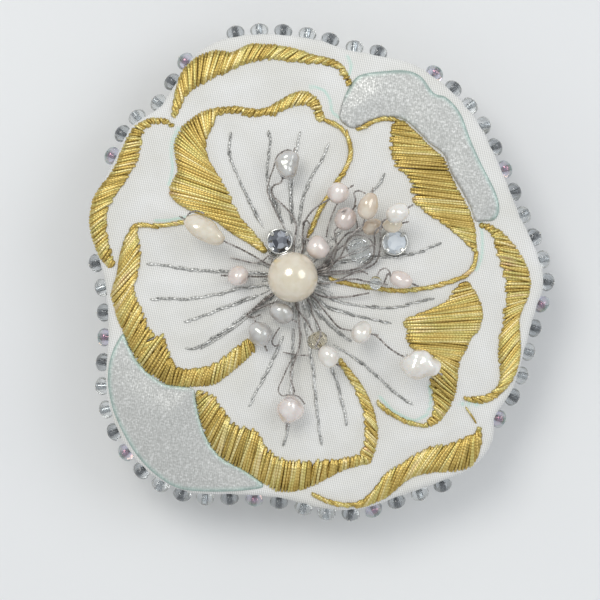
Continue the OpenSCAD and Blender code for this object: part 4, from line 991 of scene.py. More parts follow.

# %% [markdown]
# Gold embroidery thread is a strip of metal-coated film wound round a silk core. Each turn of
# the strip catches the light for a moment, so one thread is a row of bright and dark flecks;
# these are painted into its colour as painted highlights and painted shade. Neighbouring
# threads run from yellow gold to olive and a pinkish tan. The turns are drawn 0.5 mm apart;
# real ones are 0.2 mm. It is a metal, so its IOR stays at the default.

# %% Metal thread
def metal_thread(name, hex_code, stops, rough, turn_mm, dark_hex):
    """Wound metal thread: the shade picks a colour; its turns are painted highlights and painted shade."""
    material, tree, shader = new_material(name, hex_code, Metallic=0.78, Roughness=rough)
    shade = add_node(tree, "Attribute", attribute_name="shade").outputs["Fac"]
    along = add_node(tree, "Attribute", attribute_name="along_mm").outputs["Fac"]
    place = add_node(tree, "TexCoord").outputs["Object"]
    drift = add_node(tree, "TexNoise", {"Vector": place, "Scale": spots(4.5), "Detail": 1.0}).outputs["Fac"]
    both = add_node(tree, "Math", {0: shade, 1: drift}, operation="ADD")
    tone = add_node(
        tree, "MapRange", {"Value": both.outputs[0], "From Min": 0.25, "From Max": 1.75}
    ).outputs[0]
    turns = add_node(tree, "CombineXYZ", {"X": along, "Y": shade}).outputs[0]
    winding = {"Vector": turns, "Scale": 2 * math.pi / (20 * turn_mm), "Distortion": 2.5}
    winding.update({"Detail": 1.0, "Phase Offset": 0.4})
    wound = add_node(tree, "TexWave", winding, bands_direction="X").outputs["Fac"]
    # Painted highlights: bright flecks along the turns of the thread, where it would catch the light.
    glint = add_node(tree, "TexNoise", {"Vector": place, "Scale": spots(0.4), "Detail": 1.0}).outputs["Fac"]
    sparkle = add_node(tree, "Math", {0: wound, 1: glint}, operation="MULTIPLY").outputs[0]
    base = add_node(tree, "ValToRGB", {"Fac": tone}, stops=stops).outputs["Color"]
    spread = {"Value": sparkle, "From Min": 0.1, "From Max": 0.55, "To Min": 0.55, "To Max": 1.0}
    painted_highlight_share = add_node(tree, "MapRange", spread).outputs[0]
    # Painted shade: the colour multiplied by dark_hex between the painted highlights.
    layers = {0: 1.0, 6: base, 7: colour(dark_hex)}
    painted_shade_colour = add_node(tree, "Mix", layers, data_type="RGBA", blend_type="MULTIPLY").outputs[2]
    layers = {0: painted_highlight_share, 6: painted_shade_colour, 7: base}
    dark = add_node(tree, "Mix", layers, data_type="RGBA", blend_type="MIX").outputs[2]
    tree.links.new(dark, shader.inputs["Base Color"])
    raised = add_node(tree, "Bump", {"Strength": 0.55, "Distance": 0.07 * MM, "Height": sparkle})
    tree.links.new(raised.outputs["Normal"], shader.inputs["Normal"])
    return material


gold_stops = [
    (0.0, "#b09c5a"), (0.25, "#c6ac5f"), (0.45, "#e4ca7c"), (0.62, "#d8cc80"), (0.82, "#f3e3a8"),
    (1.0, "#d8b48a"),
]
silver_stops = [(0.0, "#90908d"), (0.35, "#bcbcb9"), (0.6, "#dededb"), (1.0, "#f8f8f6")]
# The last colour of each thread is its painted shade between the painted highlights.
gold_thread = metal_thread("wound_gold_thread", "#c8a646", gold_stops, 0.36, 0.5, "#c6ba92")
silver_thread = metal_thread("twisted_silver_thread", "#b4b4b0", silver_stops, 0.34, 0.6, "#a3a3a1")
print("threads:", gold_thread.name, "and", silver_thread.name)


def stitched_piece(name, batches, material, replaces=()):
    """Joins batches of laid stitches into one piece."""
    places, faces, shades, alongs, first = [], [], [], [], 0
    for p, f, s, a in batches:
        faces += [[v + first for v in face] for face in f]
        first += len(p)
        places.append(p)
        shades.append(s)
        alongs.append(a)
    piece = add_mesh(name, np.vstack(places), faces, material)
    set_floats(piece, "shade", np.concatenate(shades))
    set_floats(piece, "along_mm", np.concatenate(alongs))
    return finish_piece(piece, replaces=replaces)


# %% [markdown]
# Under each column lies a sparse padding of wide low stitches, as an embroiderer lays first,
# and the satin stitches cover it. Ropes are two rows of short slanting stitches, one on top.

# %% Gold embroidery
patch_t = 0.14
stitch_count = 0
for name, columns in SATIN.items():
    batches = []
    for rungs, lean in zip(columns, LEAN.get(name, [None] * len(columns))):
        a, b = column_stitches(rungs, lean=lean)
        n = len(a)
        stitch_count += n
        batches.append(
            lay_stitches(
                a,
                b,
                rng.uniform(0.46, 0.58, n),
                rng.uniform(0.34, 0.4, n),
                patch_t + rng.uniform(0.17, 0.25, n),
                rng.normal(0, 0.06, n),
            )
        )
        under_a, under_b = column_stitches(
            [
                np.concatenate([r[:2] + (r[2:] - r[:2]) * 0.06, r[2:] - (r[2:] - r[:2]) * 0.06])
                for r in np.asarray(rungs, float)
            ],
            0.8,
        )
        batches.append(lay_stitches(under_a, under_b, 1.0, 0.2, patch_t + 0.06))
    for line in ROPES.get(name, []):
        for slant, stitch_mm, step_mm, up in ((0.06, 2.2, 0.9, 0.12), (0.3, 1.5, 0.5, 0.22)):
            a, b = line_stitches(line, stitch_mm, step_mm, slant, 0.05)
            batches.append(
                lay_stitches(
                    a, b, rng.uniform(0.38, 0.5, len(a)), 0.36, patch_t + up, rng.normal(0, 0.04, len(a))
                )
            )
            stitch_count += len(a)
    for line in THIN_GOLD.get(name, []):
        a, b = line_stitches(line, 1.6, 0.7, 0.04)
        batches.append(lay_stitches(a, b, 0.3, 0.28, 0.2))
    stitched_piece(name + "_stitches", batches, gold_thread, [name])
print("gold stitches:", stitch_count)

# %% [markdown]
# ## Silver veins
# The veins are stem stitch in a finer twisted silver thread, a little uneven because they are
# worked by hand, and doubled in places. Round the middle pearl the ends of all these threads
# make a loose tuft, thickest on the right, which hides where the wires come out.

# %% Veins and tuft
for name, lines in VEINS.items():
    batches = []
    for k, line in enumerate(lines):
        a, b = line_stitches(line, 1.6, 0.6, 0.13, 0.06)
        batches.append(
            lay_stitches(
                a,
                b,
                rng.uniform(0.24, 0.36, len(a)),
                0.26,
                rng.uniform(0.1, 0.2, len(a)),
                rng.normal(0, 0.05, len(a)),
            )
        )
        shifted = np.asarray(line, float) + rng.normal(0, 0.22, 2)
        part = shifted[: max(3, int(len(line) * rng.uniform(0.5, 0.9)))]
        a, b = line_stitches(part, 2.1, 0.9, 0.05, 0.07)
        batches.append(
            lay_stitches(
                a,
                b,
                rng.uniform(0.16, 0.24, len(a)),
                0.2,
                rng.uniform(0.1, 0.18, len(a)),
                rng.normal(0, 0.08, len(a)),
            )
        )
    stitched_piece(name + "_stitches", batches, silver_thread, [name])

tuft_a, tuft_b = [], []
for k in range(150):
    turn = rng.uniform(0, 2 * math.pi)
    bias = 0.5 + 0.5 * math.cos(turn + 0.5)
    if rng.random() > 0.35 + 0.65 * bias:
        continue
    way = np.array([math.cos(turn), math.sin(turn)])
    side = np.array([-way[1], way[0]])
    start = rng.uniform(2.6, 4.6)
    for _ in range(rng.integers(1, 3 + int(2 * bias))):
        length = rng.uniform(1.2, 2.4)
        wobble = rng.normal(0, 0.16)
        tuft_a.append(spray_middle + way * start + side * wobble)
        tuft_b.append(spray_middle + way * (start + length) + side * (wobble + rng.normal(0, 0.18)))
        start += length * rng.uniform(0.55, 0.95)
n = len(tuft_a)
tuft = lay_stitches(
    tuft_a,
    tuft_b,
    rng.uniform(0.16, 0.3, n),
    rng.uniform(0.18, 0.26, n),
    rng.uniform(0.08, 0.3, n),
    rng.normal(0, 0.12, n),
)
stitched_piece("silver_tuft_stitches", [tuft], silver_thread)
print("tuft stitches:", n)

# %% [markdown]
# ## Edge beads
# Fifty-seven round glass seed beads, 3 mm across, are sewn along the rim with their holes
# pointing outwards. One bead is modelled: a sphere is squashed along its hole, two bisects cut
# its poles away and a bridge joins the open edges into the hole. A thin dark or silver lining
# in the hole is what makes real beads look smoky or bright. The places come from the packed
# model; each bead is sewn on a little crooked, and pulled in until it touches the edge.

# %% Model a bead
def drilled_sphere(name, across, long, hole, sides, rings, unit=MM):
    """A sphere stretched along Z with a hole through its poles, sized in mm or in metres."""
    bpy.ops.object.select_all(action="DESELECT")
    bpy.ops.mesh.primitive_uv_sphere_add(segments=sides, ring_count=rings, radius=0.5, location=(0, 0, 0))
    piece = bpy.context.object
    piece.name = name
    bpy.ops.object.mode_set(mode="EDIT")
    level = 0.5 * math.sqrt(1 - (hole / across) ** 2)
    for end in (1, -1):
        bpy.ops.mesh.select_all(action="SELECT")
        bpy.ops.mesh.bisect(plane_co=(0, 0, level * end), plane_no=(0, 0, end), clear_outer=True)
    bpy.ops.mesh.select_all(action="SELECT")
    bpy.ops.mesh.remove_doubles(threshold=1e-5)
    bpy.ops.mesh.select_mode(type="EDGE")
    bpy.ops.mesh.select_all(action="DESELECT")
    bpy.ops.mesh.select_non_manifold()
    bpy.ops.mesh.bridge_edge_loops(number_cuts=3)
    bpy.ops.mesh.select_all(action="SELECT")
    bpy.ops.mesh.normals_make_consistent(inside=False)
    bpy.ops.transform.resize(value=(across * unit, across * unit, long * unit), center_override=(0, 0, 0))
    bpy.ops.object.mode_set(mode="OBJECT")
    return piece


bead_across, bead_long, bead_hole = 3.0, 2.2, 0.9
bead = drilled_sphere("bead_pattern", bead_across, bead_long * 1.06, bead_hole, 26, 16, unit=1.0)
BEAD = pattern_of(bead)
put_away(bead)
print("bead faces", len(BEAD[1]))

# %% [markdown]
# The lining is a short tube inside the hole. It is a cylinder whose two end faces are inset
# and bridged, and so are the stones' cups and claws later on.

# %% Line the hole
def bored_cylinder(name, across, long, hole, sides):
    """A cylinder along Z in mm with a hole through it."""
    bpy.ops.object.select_all(action="DESELECT")
    bpy.ops.mesh.primitive_cylinder_add(vertices=sides, radius=across / 2, depth=long, location=(0, 0, 0))
    piece = bpy.context.object
    piece.name = name
    bpy.ops.object.mode_set(mode="EDIT")
    bpy.ops.mesh.select_mode(type="FACE")
    bpy.ops.mesh.select_all(action="DESELECT")
    bpy.ops.object.mode_set(mode="OBJECT")
    for face in piece.data.polygons:
        face.select = abs(face.normal.z) > 0.9
    bpy.ops.object.mode_set(mode="EDIT")
    bpy.ops.mesh.inset(thickness=(across - hole) / 2, use_even_offset=False)
    bpy.ops.mesh.bridge_edge_loops()
    bpy.ops.mesh.select_all(action="SELECT")
    bpy.ops.mesh.normals_make_consistent(inside=False)
    bpy.ops.object.mode_set(mode="OBJECT")
    return piece


def apply_modifier(piece, kind, **settings):
    """Adds one modifier with its settings and applies it."""
    only(piece)
    modifier = piece.modifiers.new(kind.lower(), kind)
    for name, value in settings.items():
        setattr(modifier, name, value)
    bpy.ops.object.modifier_apply(modifier=modifier.name)


lining = bored_cylinder("lining_pattern", bead_hole - 0.04, bead_long - 0.5, bead_hole - 0.24, 14)
LINING = pattern_of(lining)
put_away(lining)
print("lining faces", len(LINING[1]))

# %% [markdown]
# The beads are three kinds of glass: clear over a silvered hole, smoky over a dark one, and
# one with a rainbow coat, which a thin film on the shader gives.

# %% Glass
def glass(name, hex_code, rough=0.03, **more):
    """Pressed glass: clear, with a slight waver in its skin that breaks up the highlights."""
    material, tree, shader = new_material(
        name, hex_code, Roughness=rough, Transmission_Weight=0.92, IOR=1.52, **more
    )
    place = add_node(tree, "TexCoord").outputs["Object"]
    waver = add_node(tree, "TexNoise", {"Vector": place, "Scale": spots(1.1), "Detail": 1.0}).outputs["Fac"]
    raised = add_node(tree, "Bump", {"Strength": 0.25, "Distance": 0.12 * MM, "Height": waver})
    tree.links.new(raised.outputs["Normal"], shader.inputs["Normal"])
    return material


clear_glass = glass("clear_soda_glass", "#f4f7f8")
smoky_glass = glass("smoky_soda_glass", "#d6dadd")
iris_glass = glass("iris_coated_glass", "#e9e6f6", Thin_Film_Thickness=420.0, Thin_Film_IOR=1.8)


def lining_finish(name, hex_code, metal, rough):
    """Paint or silvering on the wall of a bead's hole, patchy as it is dipped."""
    material, tree, shader = new_material(name, hex_code, Metallic=metal, Roughness=rough)
    place = add_node(tree, "TexCoord").outputs["Object"]
    patchy = add_node(
        tree, "TexNoise", {"Vector": place, "Scale": spots(0.5), "Detail": 2.0}
    ).outputs["Fac"]
    tint = add_node(tree, "ValToRGB", {"Fac": patchy}, stops=[(0.35, hex_code), (0.75, "#8d9092")])
    tree.links.new(tint.outputs["Color"], shader.inputs["Base Color"])
    return material


silvered = lining_finish("silvered_hole", "#c9cdcf", 0.9, 0.25)
dark_dyed = lining_finish("dark_dyed_hole", "#55585b", 0.0, 0.4)
grey_dyed = lining_finish("grey_dyed_hole", "#777b80", 0.2, 0.4)


def turned_to(way):
    """Rotation that turns Z to a direction, with its side kept level."""
    return np.array(Vector(way).to_track_quat("Z", "Y").to_matrix())


def repeat(name, patterns, places, materials):
    """Copies of patterns at places: each place is (middle in mm, 3 x 3 turn)."""
    verts, faces, kinds, first = [], [], [], 0
    for middle, turn in places:
        for k, (pattern, pattern_faces, _) in enumerate(patterns):
            verts.append(pattern @ turn.T + middle)
            faces += [[v + first for v in f] for f in pattern_faces]
            kinds += [k] * len(pattern_faces)
            first += len(pattern)
    piece = add_mesh(name, np.vstack(verts), faces, *materials)
    piece.data.polygons.foreach_set("material_index", kinds)
    return piece


tucked_z = hem_z - 1.2
pulled_in = 0.65
crooked = np.random.default_rng(7)
sewn_beads = {}
for node, beads in bead_places.items():
    sewn_beads[node] = []
    for middle, hole in beads:
        tilt = hole + [*crooked.normal(0, 0.14, 2), crooked.normal(0.0, 0.12)]
        if middle[2] < tucked_z:
            sewn_beads[node].append((middle, hole))
        else:
            slack = [0, 0, crooked.uniform(-0.12, 0.12)]
            sewn_beads[node].append((middle - hole * pulled_in - slack, tilt / np.linalg.norm(tilt)))
for node, glass_kind, hole_kind, slot in (
    ("edge_beads_clear", clear_glass, silvered, "bead_clear"),
    ("edge_beads_grey", smoky_glass, dark_dyed, "bead_grey"),
    ("edge_beads_iris", iris_glass, grey_dyed, "bead_iris"),
):
    places = [(middle, turned_to(hole)) for middle, hole in sewn_beads[node]]
    beads = repeat(node + "_glass", [BEAD, LINING], places, [glass_kind, hole_kind])
    finish_piece(beads, replaces=[node])

# %% [markdown]
# The thread comes out of the hem, goes out through a bead, turns over its outer end and runs
# back underneath into the hem. A round tube along given points is enough for it.

# %% Tubes
def tube(points, across, sides=8):
    """A round tube along points in mm: vertices and faces, closed at both ends."""
    p = np.asarray(points, float)
    way = np.gradient(p, axis=0)
    way /= np.linalg.norm(way, axis=1)[:, None]
    side = np.zeros_like(p)
    first = np.cross(way[0], (0, 0, 1))
    side[0] = first / np.linalg.norm(first) if np.linalg.norm(first) > 1e-3 else (1, 0, 0)
    for i in range(1, len(p)):
        s = side[i - 1] - way[i] * (side[i - 1] @ way[i])
        side[i] = s / np.linalg.norm(s)
    up = np.cross(way, side)
    turn = np.linspace(0, 2 * math.pi, sides, endpoint=False)
    across = np.broadcast_to(across, len(p))
    ring = side[:, None] * np.cos(turn)[None, :, None] + up[:, None] * np.sin(turn)[None, :, None]
    places = (p[:, None] + ring * (across / 2)[:, None, None]).reshape(-1, 3)
    faces = grid_faces(len(p), sides)[:, ::-1].tolist()
    faces += [list(range(sides))[::-1], [(len(p) - 1) * sides + j for j in range(sides)]]
    return places, faces


def gather(name, tubes, material):
    """Several tubes as one piece."""
    verts, faces, first = [], [], 0
    for v, f in tubes:
        verts.append(v)
        faces += [[k + first for k in face] for face in f]
        first += len(v)
    piece = add_mesh(name, np.vstack(verts), faces, material)
    only(piece)
    bpy.ops.object.mode_set(mode="EDIT")
    bpy.ops.mesh.select_all(action="SELECT")
    bpy.ops.mesh.normals_make_consistent(inside=False)
    bpy.ops.object.mode_set(mode="OBJECT")
    return piece


def thread_finish(name, hex_code, ply_mm):
    """Spun polyester thread: matt, with its plies seen as a fine slanting ripple."""
    material, tree, shader = new_material(name, hex_code, Roughness=0.6, Sheen_Weight=0.3)
    place = add_node(tree, "TexCoord").outputs["Object"]
    ply = add_node(
        tree,
        "TexWave",
        {"Vector": place, "Scale": bands(ply_mm), "Distortion": 2.0},
        bands_direction="DIAGONAL",
    ).outputs["Fac"]
    tint = add_node(tree, "ValToRGB", {"Fac": ply}, stops=[(0.2, "#d5d3ca"), (0.8, hex_code)])
    tree.links.new(tint.outputs["Color"], shader.inputs["Base Color"])
    raised = add_node(tree, "Bump", {"Strength": 0.5, "Distance": 0.03 * MM, "Height": ply})
    tree.links.new(raised.outputs["Normal"], shader.inputs["Normal"])
    return material


sewing_thread = thread_finish("spun_sewing_thread", "#f1efe8", 0.35)
loops = []
for middle, hole in [b for beads in sewn_beads.values() for b in beads]:
    r, half = bead_across / 2, bead_long / 2
    down = np.array([0, 0, -1.0])
    tucked_under = middle[2] < tucked_z
    way = [middle - hole * (half + 0.55), middle - hole * half, middle, middle + hole * (half + 0.02)]
    if not tucked_under:
        way += [
            middle + hole * (half + 0.12) + down * 0.5,
            middle + hole * (half - 0.1) + down * (r * 0.85),
            middle + hole * 0.3 + down * (r + 0.1),
            middle - hole * (half - 0.1) + down * (r + 0.05) * 0.9,
            middle - hole * (half + 0.6) + down * 0.62,
        ]
    loops.append(tube(open_curve(way, 4), 0.2, 6))
bead_thread = gather("bead_sewing_thread", loops, sewing_thread)
finish_piece(bead_thread, replaces=["bead_thread"])

# %% [markdown]
# ## Pearls
# Freshwater pearls are never perfect balls: they are ovals with soft bumps. Each starts as a
# UV sphere whose poles lie on its hole. Two bisects cut the poles away, a bridge joins the two
# open edges into a drilled hole, and two displacements push the skin about: broadly, then
# finely. The strength differs from pearl to pearl, from nearly round to baroque.

# %% The spray, as drawn round the middle pearl
centre_across, spray_lift, wire_across = 8.0, 0.6, 0.36
# name, (x, y) from the middle, gap under it, diameter, length, azimuth of the hole, lumpiness
PEARLS = [
    ("pearl_grey_top", (-0.8, 17.6), 1.6, 3.2, 4.4, 68, 0.9, "nacre_grey"),
    ("pearl_cream_left", (-13.9, 7.4), 3, 3.6, 7.2, 151, 0.5, "nacre_cream"),
    ("pearl_pink_left", (-8.8, 0.2), 0.1, 3.2, 3.4, 178, 0.35, "nacre_pink"),
    ("pearl_blush_middle", (4, 4.7), 0.4, 3.4, 3.8, 145, 0.35, "nacre_pink"),
    ("pearl_silver_upper", (-1.8, -5.7), 0.1, 3.4, 3.8, 330, 0.4, "nacre_grey"),
    ("pearl_silver_lower", (-5.2, -8.9), 0.2, 3.6, 4.2, 292, 0.4, "nacre_grey"),
    ("pearl_rose_cluster", (7.3, 13.2), 2.2, 3.2, 3.4, 30, 0.35, "nacre_pink"),
    ("pearl_mauve_cluster", (8.2, 9.2), 2.4, 3.5, 3.7, 50, 0.3, "nacre_mauve"),
    ("pearl_peach_cluster", (11.8, 11), 4, 3.2, 4.5, 75, 0.4, "nacre_peach"),
    ("pearl_shade_cluster", (12.5, 8), 0.8, 2.6, 3.4, 20, 0.4, "nacre_peach"),
    ("pearl_lemon_cluster", (15.7, 8.2), 2.8, 2.6, 3.4, 12, 0.4, "nacre_cream"),
    ("pearl_ivory_cluster", (16.4, 10), 5.2, 2.8, 3.8, 28, 0.5, "nacre_white"),
    ("pearl_pink_right", (17.3, -0.4), 2, 2.8, 3.7, 338, 0.5, "nacre_pink"),
    ("pearl_chalk_right", (10.9, -8.7), 1.8, 3.9, 3.4, 350, 0.5, "nacre_white"),
    ("pearl_white_lower", (5.5, -12.5), 3, 3.2, 3.6, 320, 0.4, "nacre_white"),
    ("pearl_white_baroque", (20, -13.7), 3.4, 4.4, 6, 335, 1.0, "nacre_white"),
    ("pearl_cream_bottom", (-0.4, -20.9), 1, 4, 4.7, 258, 0.5, "nacre_cream"),
]
CRYSTALS = [
    ("crystal_upper_right", (10.5, 4.2), 0.2, 4.1, 3.6, 22, "crystal"),
    ("crystal_lower", (3.9, -10), 0.1, 3.4, 2.8, 300, "crystal_champagne"),
    ("crystal_small_right", (13.1, -0.9), 0.8, 2.3, 2, 352, "crystal"),
]


def strung_middle(row):
    """Middle of a strung piece: it hangs a little above the stitching."""
    q = spray_middle + row[1]
    return np.array([*q, float(dome_z(q)) + spray_lift + row[2] + row[3] / 2])


def hole_way(row):
    """Direction of a strung piece's hole, which lies level."""
    return np.array([math.cos(math.radians(row[5])), math.sin(math.radians(row[5])), 0])


for row in PEARLS[:3]:
    low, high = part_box(row[0])
    print(
        row[0],
        "is off its CAD place by",
        (strung_middle(row) - np.array((low + high) / 2) / MM).round(3),
        "mm",
    )

# %% [markdown]
# Two cloudy textures push the skin of every pearl. They are read in the scene's own space, so
# each pearl gets a different part of them and no two are alike.

# %% Baroque pearls
lumps = bpy.data.textures.new("lumps", "CLOUDS")
lumps.noise_scale, lumps.noise_depth = 2.4 * MM, 0
dimples = bpy.data.textures.new("dimples", "CLOUDS")
dimples.noise_scale, dimples.noise_depth = 0.75 * MM, 1
print("lumps of", round(lumps.noise_scale / MM, 2), "mm, dimples of", round(dimples.noise_scale / MM, 2))


def make_pearl(name, middle, way, across, long, hole, lumpy, material):
    """A drilled pearl at its place with its hole along a direction."""
    pearl = drilled_sphere(name, across, long, hole, 40, 28)
    pearl.location = Vector(middle * MM)
    pearl.rotation_mode = "QUATERNION"
    pearl.rotation_quaternion = Vector(way).to_track_quat("Z", "Y")
    apply_modifier(
        pearl, "DISPLACE", texture=lumps, texture_coords="GLOBAL", mid_level=0.5, strength=1.5 * lumpy * MM
    )
    apply_modifier(
        pearl,
        "DISPLACE",
        texture=dimples,
        texture_coords="GLOBAL",
        mid_level=0.5,
        strength=0.16 * lumpy * MM,
    )
    pearl.data.materials.append(material)
    pearl.data.polygons.foreach_set("use_smooth", [True] * len(pearl.data.polygons))
    return pearl


# %% [markdown]
# Nacre is layer on layer of aragonite plates thinner than light is long. The colour comes from
# inside, softly, the skin is a clear gloss, and the thin layers add a faint pink-green
# overtone, which a thin film on the shader gives. Aragonite's IOR is about 1.6.

# %% Nacre
def nacre(name, hex_code, shade_hex, gloss=0.2):
    """A pearl's skin: soft colour from inside under a clear gloss, cloudy from place to place."""
    material, tree, shader = new_material(
        name,
        hex_code,
        Roughness=gloss,
        IOR=1.6,
        Metallic=0.22,
        Coat_Weight=0.5,
        Coat_Roughness=0.06,
        Subsurface_Weight=0.12,
        Subsurface_Scale=0.6 * MM,
        Thin_Film_Thickness=380.0,
        Thin_Film_IOR=1.66,
    )
    shader.inputs["Subsurface Radius"].default_value = (1.0, 0.7, 0.5)
    place = add_node(tree, "TexCoord").outputs["Object"]
    cloudy = add_node(
        tree, "TexNoise", {"Vector": place, "Scale": spots(1.6), "Detail": 3.0}
    ).outputs["Fac"]
    tint = add_node(tree, "ValToRGB", {"Fac": cloudy}, stops=[(0.35, shade_hex), (0.62, hex_code)])
    tree.links.new(tint.outputs["Color"], shader.inputs["Base Color"])
    skin = add_node(tree, "TexNoise", {"Vector": place, "Scale": spots(0.5), "Detail": 2.0}).outputs["Fac"]
    raised = add_node(tree, "Bump", {"Strength": 0.12, "Distance": 0.05 * MM, "Height": skin})
    tree.links.new(raised.outputs["Normal"], shader.inputs["Normal"])
    return material


NACRE = {
    "nacre_cream": nacre("cream_nacre", "#ece3d2", "#ddd1bb"),
    "nacre_white": nacre("white_nacre", "#f2efe9", "#e4ddd3"),
    "nacre_pink": nacre("blush_nacre", "#eee5df", "#e2d3cb"),
    "nacre_mauve": nacre("mauve_nacre", "#dccfc8", "#cabbb3"),
    "nacre_peach": nacre("peach_nacre", "#e8dccb", "#d9c6b0"),
    "nacre_grey": nacre("silver_grey_nacre", "#d0cecb", "#b3afa8", 0.16),
}
rosy_white = nacre("rosy_white_nacre", "#efe8e4", "#e0d4cd")
for row in PEARLS:
    skin = rosy_white if row[0] == "pearl_cream_bottom" else NACRE[row[7]]
    pearl = make_pearl(
        row[0] + "_nacre", strung_middle(row), hole_way(row), row[3], row[4], 0.8, row[6], skin
    )
    finish_piece(pearl, replaces=[row[0]])
low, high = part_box("centre_pearl")
centre_place = np.array((low + high) / 2) / MM
centre = make_pearl(
    "centre_pearl_nacre",
    centre_place,
    (0.6, -0.8, 0.0),
    centre_across,
    centre_across,
    0.9,
    0.06,
    nacre("round_cream_nacre", "#ece2cf", "#e4d8c0", 0.16),
)
finish_piece(centre, replaces=["centre_pearl"])

# %% [markdown]
# ## Crystals and stones
# A cut glass bead is the same drilled sphere with very few sides and flat shading, so its
# facets are real. The two round stones are flat-backed brilliants in metal cups: a
# twelve-sided disc, its top face inset, raised and turned half a step, which leaves
# three-cornered facets round the table.

# %% Cut beads
cut_glass = {
    "crystal": glass("cut_clear_crystal", "#fafdfd", 0.01),
    "crystal_champagne": glass("cut_champagne_crystal", "#f6efdc", 0.01),
}
for row in CRYSTALS:
    crystal = drilled_sphere(row[0] + "_cut", row[3], row[4], 0.8, 9, 6)
    crystal.location = Vector(strung_middle(row) * MM)
    crystal.rotation_mode = "QUATERNION"
    crystal.rotation_quaternion = Vector(hole_way(row)).to_track_quat("Z", "Y")
    crystal.data.materials.append(cut_glass[row[6]])
    finish_piece(crystal, replaces=[row[0]])

# %% [markdown]
# A stone is a foiled glass brilliant. Its cup is a bored cylinder with a floor, and four
# small claws lean in over the girdle.

# %% Round stones
def round_stone(name, middle, across):
    """A brilliant cut with its girdle 0.7 mm above its foot."""
    bpy.ops.object.select_all(action="DESELECT")
    bpy.ops.mesh.primitive_cylinder_add(vertices=12, radius=across / 2, depth=0.16, location=(0, 0, 0.72))
    stone = bpy.context.object
    stone.name = name
    bpy.ops.object.transform_apply(location=True, rotation=True, scale=True)
    bpy.ops.object.mode_set(mode="EDIT")
    bpy.ops.mesh.select_mode(type="FACE")
    for end, inset, rise in ((1, 0.62, 0.5), (-1, 1.25, -0.44)):
        bpy.ops.mesh.select_all(action="DESELECT")
        bpy.ops.object.mode_set(mode="OBJECT")
        for face in stone.data.polygons:
            face.select = face.normal.z * end > 0.9
        bpy.ops.object.mode_set(mode="EDIT")
        bpy.ops.mesh.inset(thickness=inset)
        bpy.ops.transform.translate(value=(0, 0, rise))
        bpy.ops.transform.rotate(value=math.radians(15), orient_axis="Z", center_override=(0, 0, 0))
    bpy.ops.mesh.select_all(action="DESELECT")
    bpy.ops.object.mode_set(mode="OBJECT")
    for face in stone.data.polygons:
        face.select = 0.1 < abs(face.normal.z) < 0.95
    bpy.ops.object.mode_set(mode="EDIT")
    bpy.ops.mesh.quads_convert_to_tris()
    bpy.ops.object.mode_set(mode="OBJECT")
    stone.scale = (MM, MM, MM)
    stone.location = Vector(middle * MM)
    return stone


def foiled_glass(name, dark_hex, painted_flash_hex, metal=0.85, rough=0.04):
    """Glass with a mirror foil behind it: tinted metal, with painted reflections in patches from dark to
    bright.
    """
    material, tree, shader = new_material(
        name, dark_hex, Metallic=metal, Roughness=rough, Coat_Weight=1.0, Coat_IOR=1.52
    )
    place = add_node(tree, "TexCoord").outputs["Object"]
    # Painted reflections: patches of the colour run from dark to bright, as foiled facets would flash.
    painted_flash_cells = add_node(tree, "TexVoronoi", {"Vector": place, "Scale": spots(0.9)}).outputs["Color"]
    grey = add_node(tree, "RGBToBW", {"Color": painted_flash_cells}).outputs[0]
    tint = add_node(tree, "ValToRGB", {"Fac": grey}, stops=[(0.2, dark_hex), (0.8, painted_flash_hex)])
    tree.links.new(tint.outputs["Color"], shader.inputs["Base Color"])
    return material


# Silver plate: a bright mirror with a slight brownish bloom where it has tarnished.
plated_cup, tree, shader = new_material("silver_plated_brass", "#cfcfcb", Metallic=1.0, Roughness=0.22)
place = add_node(tree, "TexCoord").outputs["Object"]
tarnish = add_node(tree, "TexNoise", {"Vector": place, "Scale": spots(0.7), "Detail": 3.0}).outputs["Fac"]
tint = add_node(tree, "ValToRGB", {"Fac": tarnish}, stops=[(0.3, "#b9b8b2"), (0.6, "#dcdcd8")])
tree.links.new(tint.outputs["Color"], shader.inputs["Base Color"])
# Each stone's second colour is the bright end of its painted reflections.
STONES = [
    ("stone_dark", (-2.1, 5.7), foiled_glass("foiled_smoke_glass", "#44464f", "#c3c7cf")),
    ("stone_opal", (16.2, 5.5), foiled_glass("foiled_opal_glass", "#ccd5dd", "#e8eef3", 0.3, 0.16)),
]
claw = bored_cylinder("claw_pattern", 0.62, 1.5, 0.05, 8)
apply_modifier(claw, "BEVEL", width=0.14, segments=2)
CLAW = pattern_of(claw)
put_away(claw)
for name, at, finish in STONES:
    q = spray_middle + at
    foot = np.array([*q, float(dome_z(q)) + spray_lift])
    stone = round_stone(name + "_cut", foot, 3.64)
    stone.data.materials.append(finish)
    finish_piece(stone, replaces=[name])
    cup = bored_cylinder(name + "_cup", 4.1, 0.95, 3.7, 32)
    apply_modifier(cup, "BEVEL", width=0.07, segments=2, limit_method="ANGLE")
    CUP = pattern_of(cup)
    put_away(cup)
    base = bored_cylinder(name + "_base", 3.72, 0.2, 0.3, 32)
    BASE = pattern_of(base)
    put_away(base)
    places = [(foot + (0, 0, 0.475), np.eye(3))]
    cup = repeat(name + "_cup", [CUP], places, [plated_cup])
    parts = [cup, repeat(name + "_base", [BASE], [(foot + (0, 0, 0.1), np.eye(3))], [plated_cup])]
    claws = []
    for k in range(4):
        turn = math.radians(45 + 90 * k)
        out = np.array([math.cos(turn), math.sin(turn), 0])
        claws.append((foot + out * 1.86 + (0, 0, 0.62), turned_to((-out * 0.32 + (0, 0, 1)) / 1.05)))
    parts.append(repeat(name + "_claws", [CLAW], claws, [plated_cup]))
    only(cup)
    for p in parts:
        p.select_set(True)
    bpy.ops.object.join()
    bpy.ops.object.shade_smooth_by_angle(angle=math.radians(35))
    finish_piece(cup, replaces=[name + "_setting"])

# %% [markdown]
# ## Wires
# The pearls stand on dark craft wire: two thin wires twisted together. Every way runs from
# under the middle pearl, over the stitching and straight through its pearl's hole. Two thin
# tubes wind round that way like a rope, half a turn apart. Some ends are curled into small
# eyes and hooks, as the real spray has.

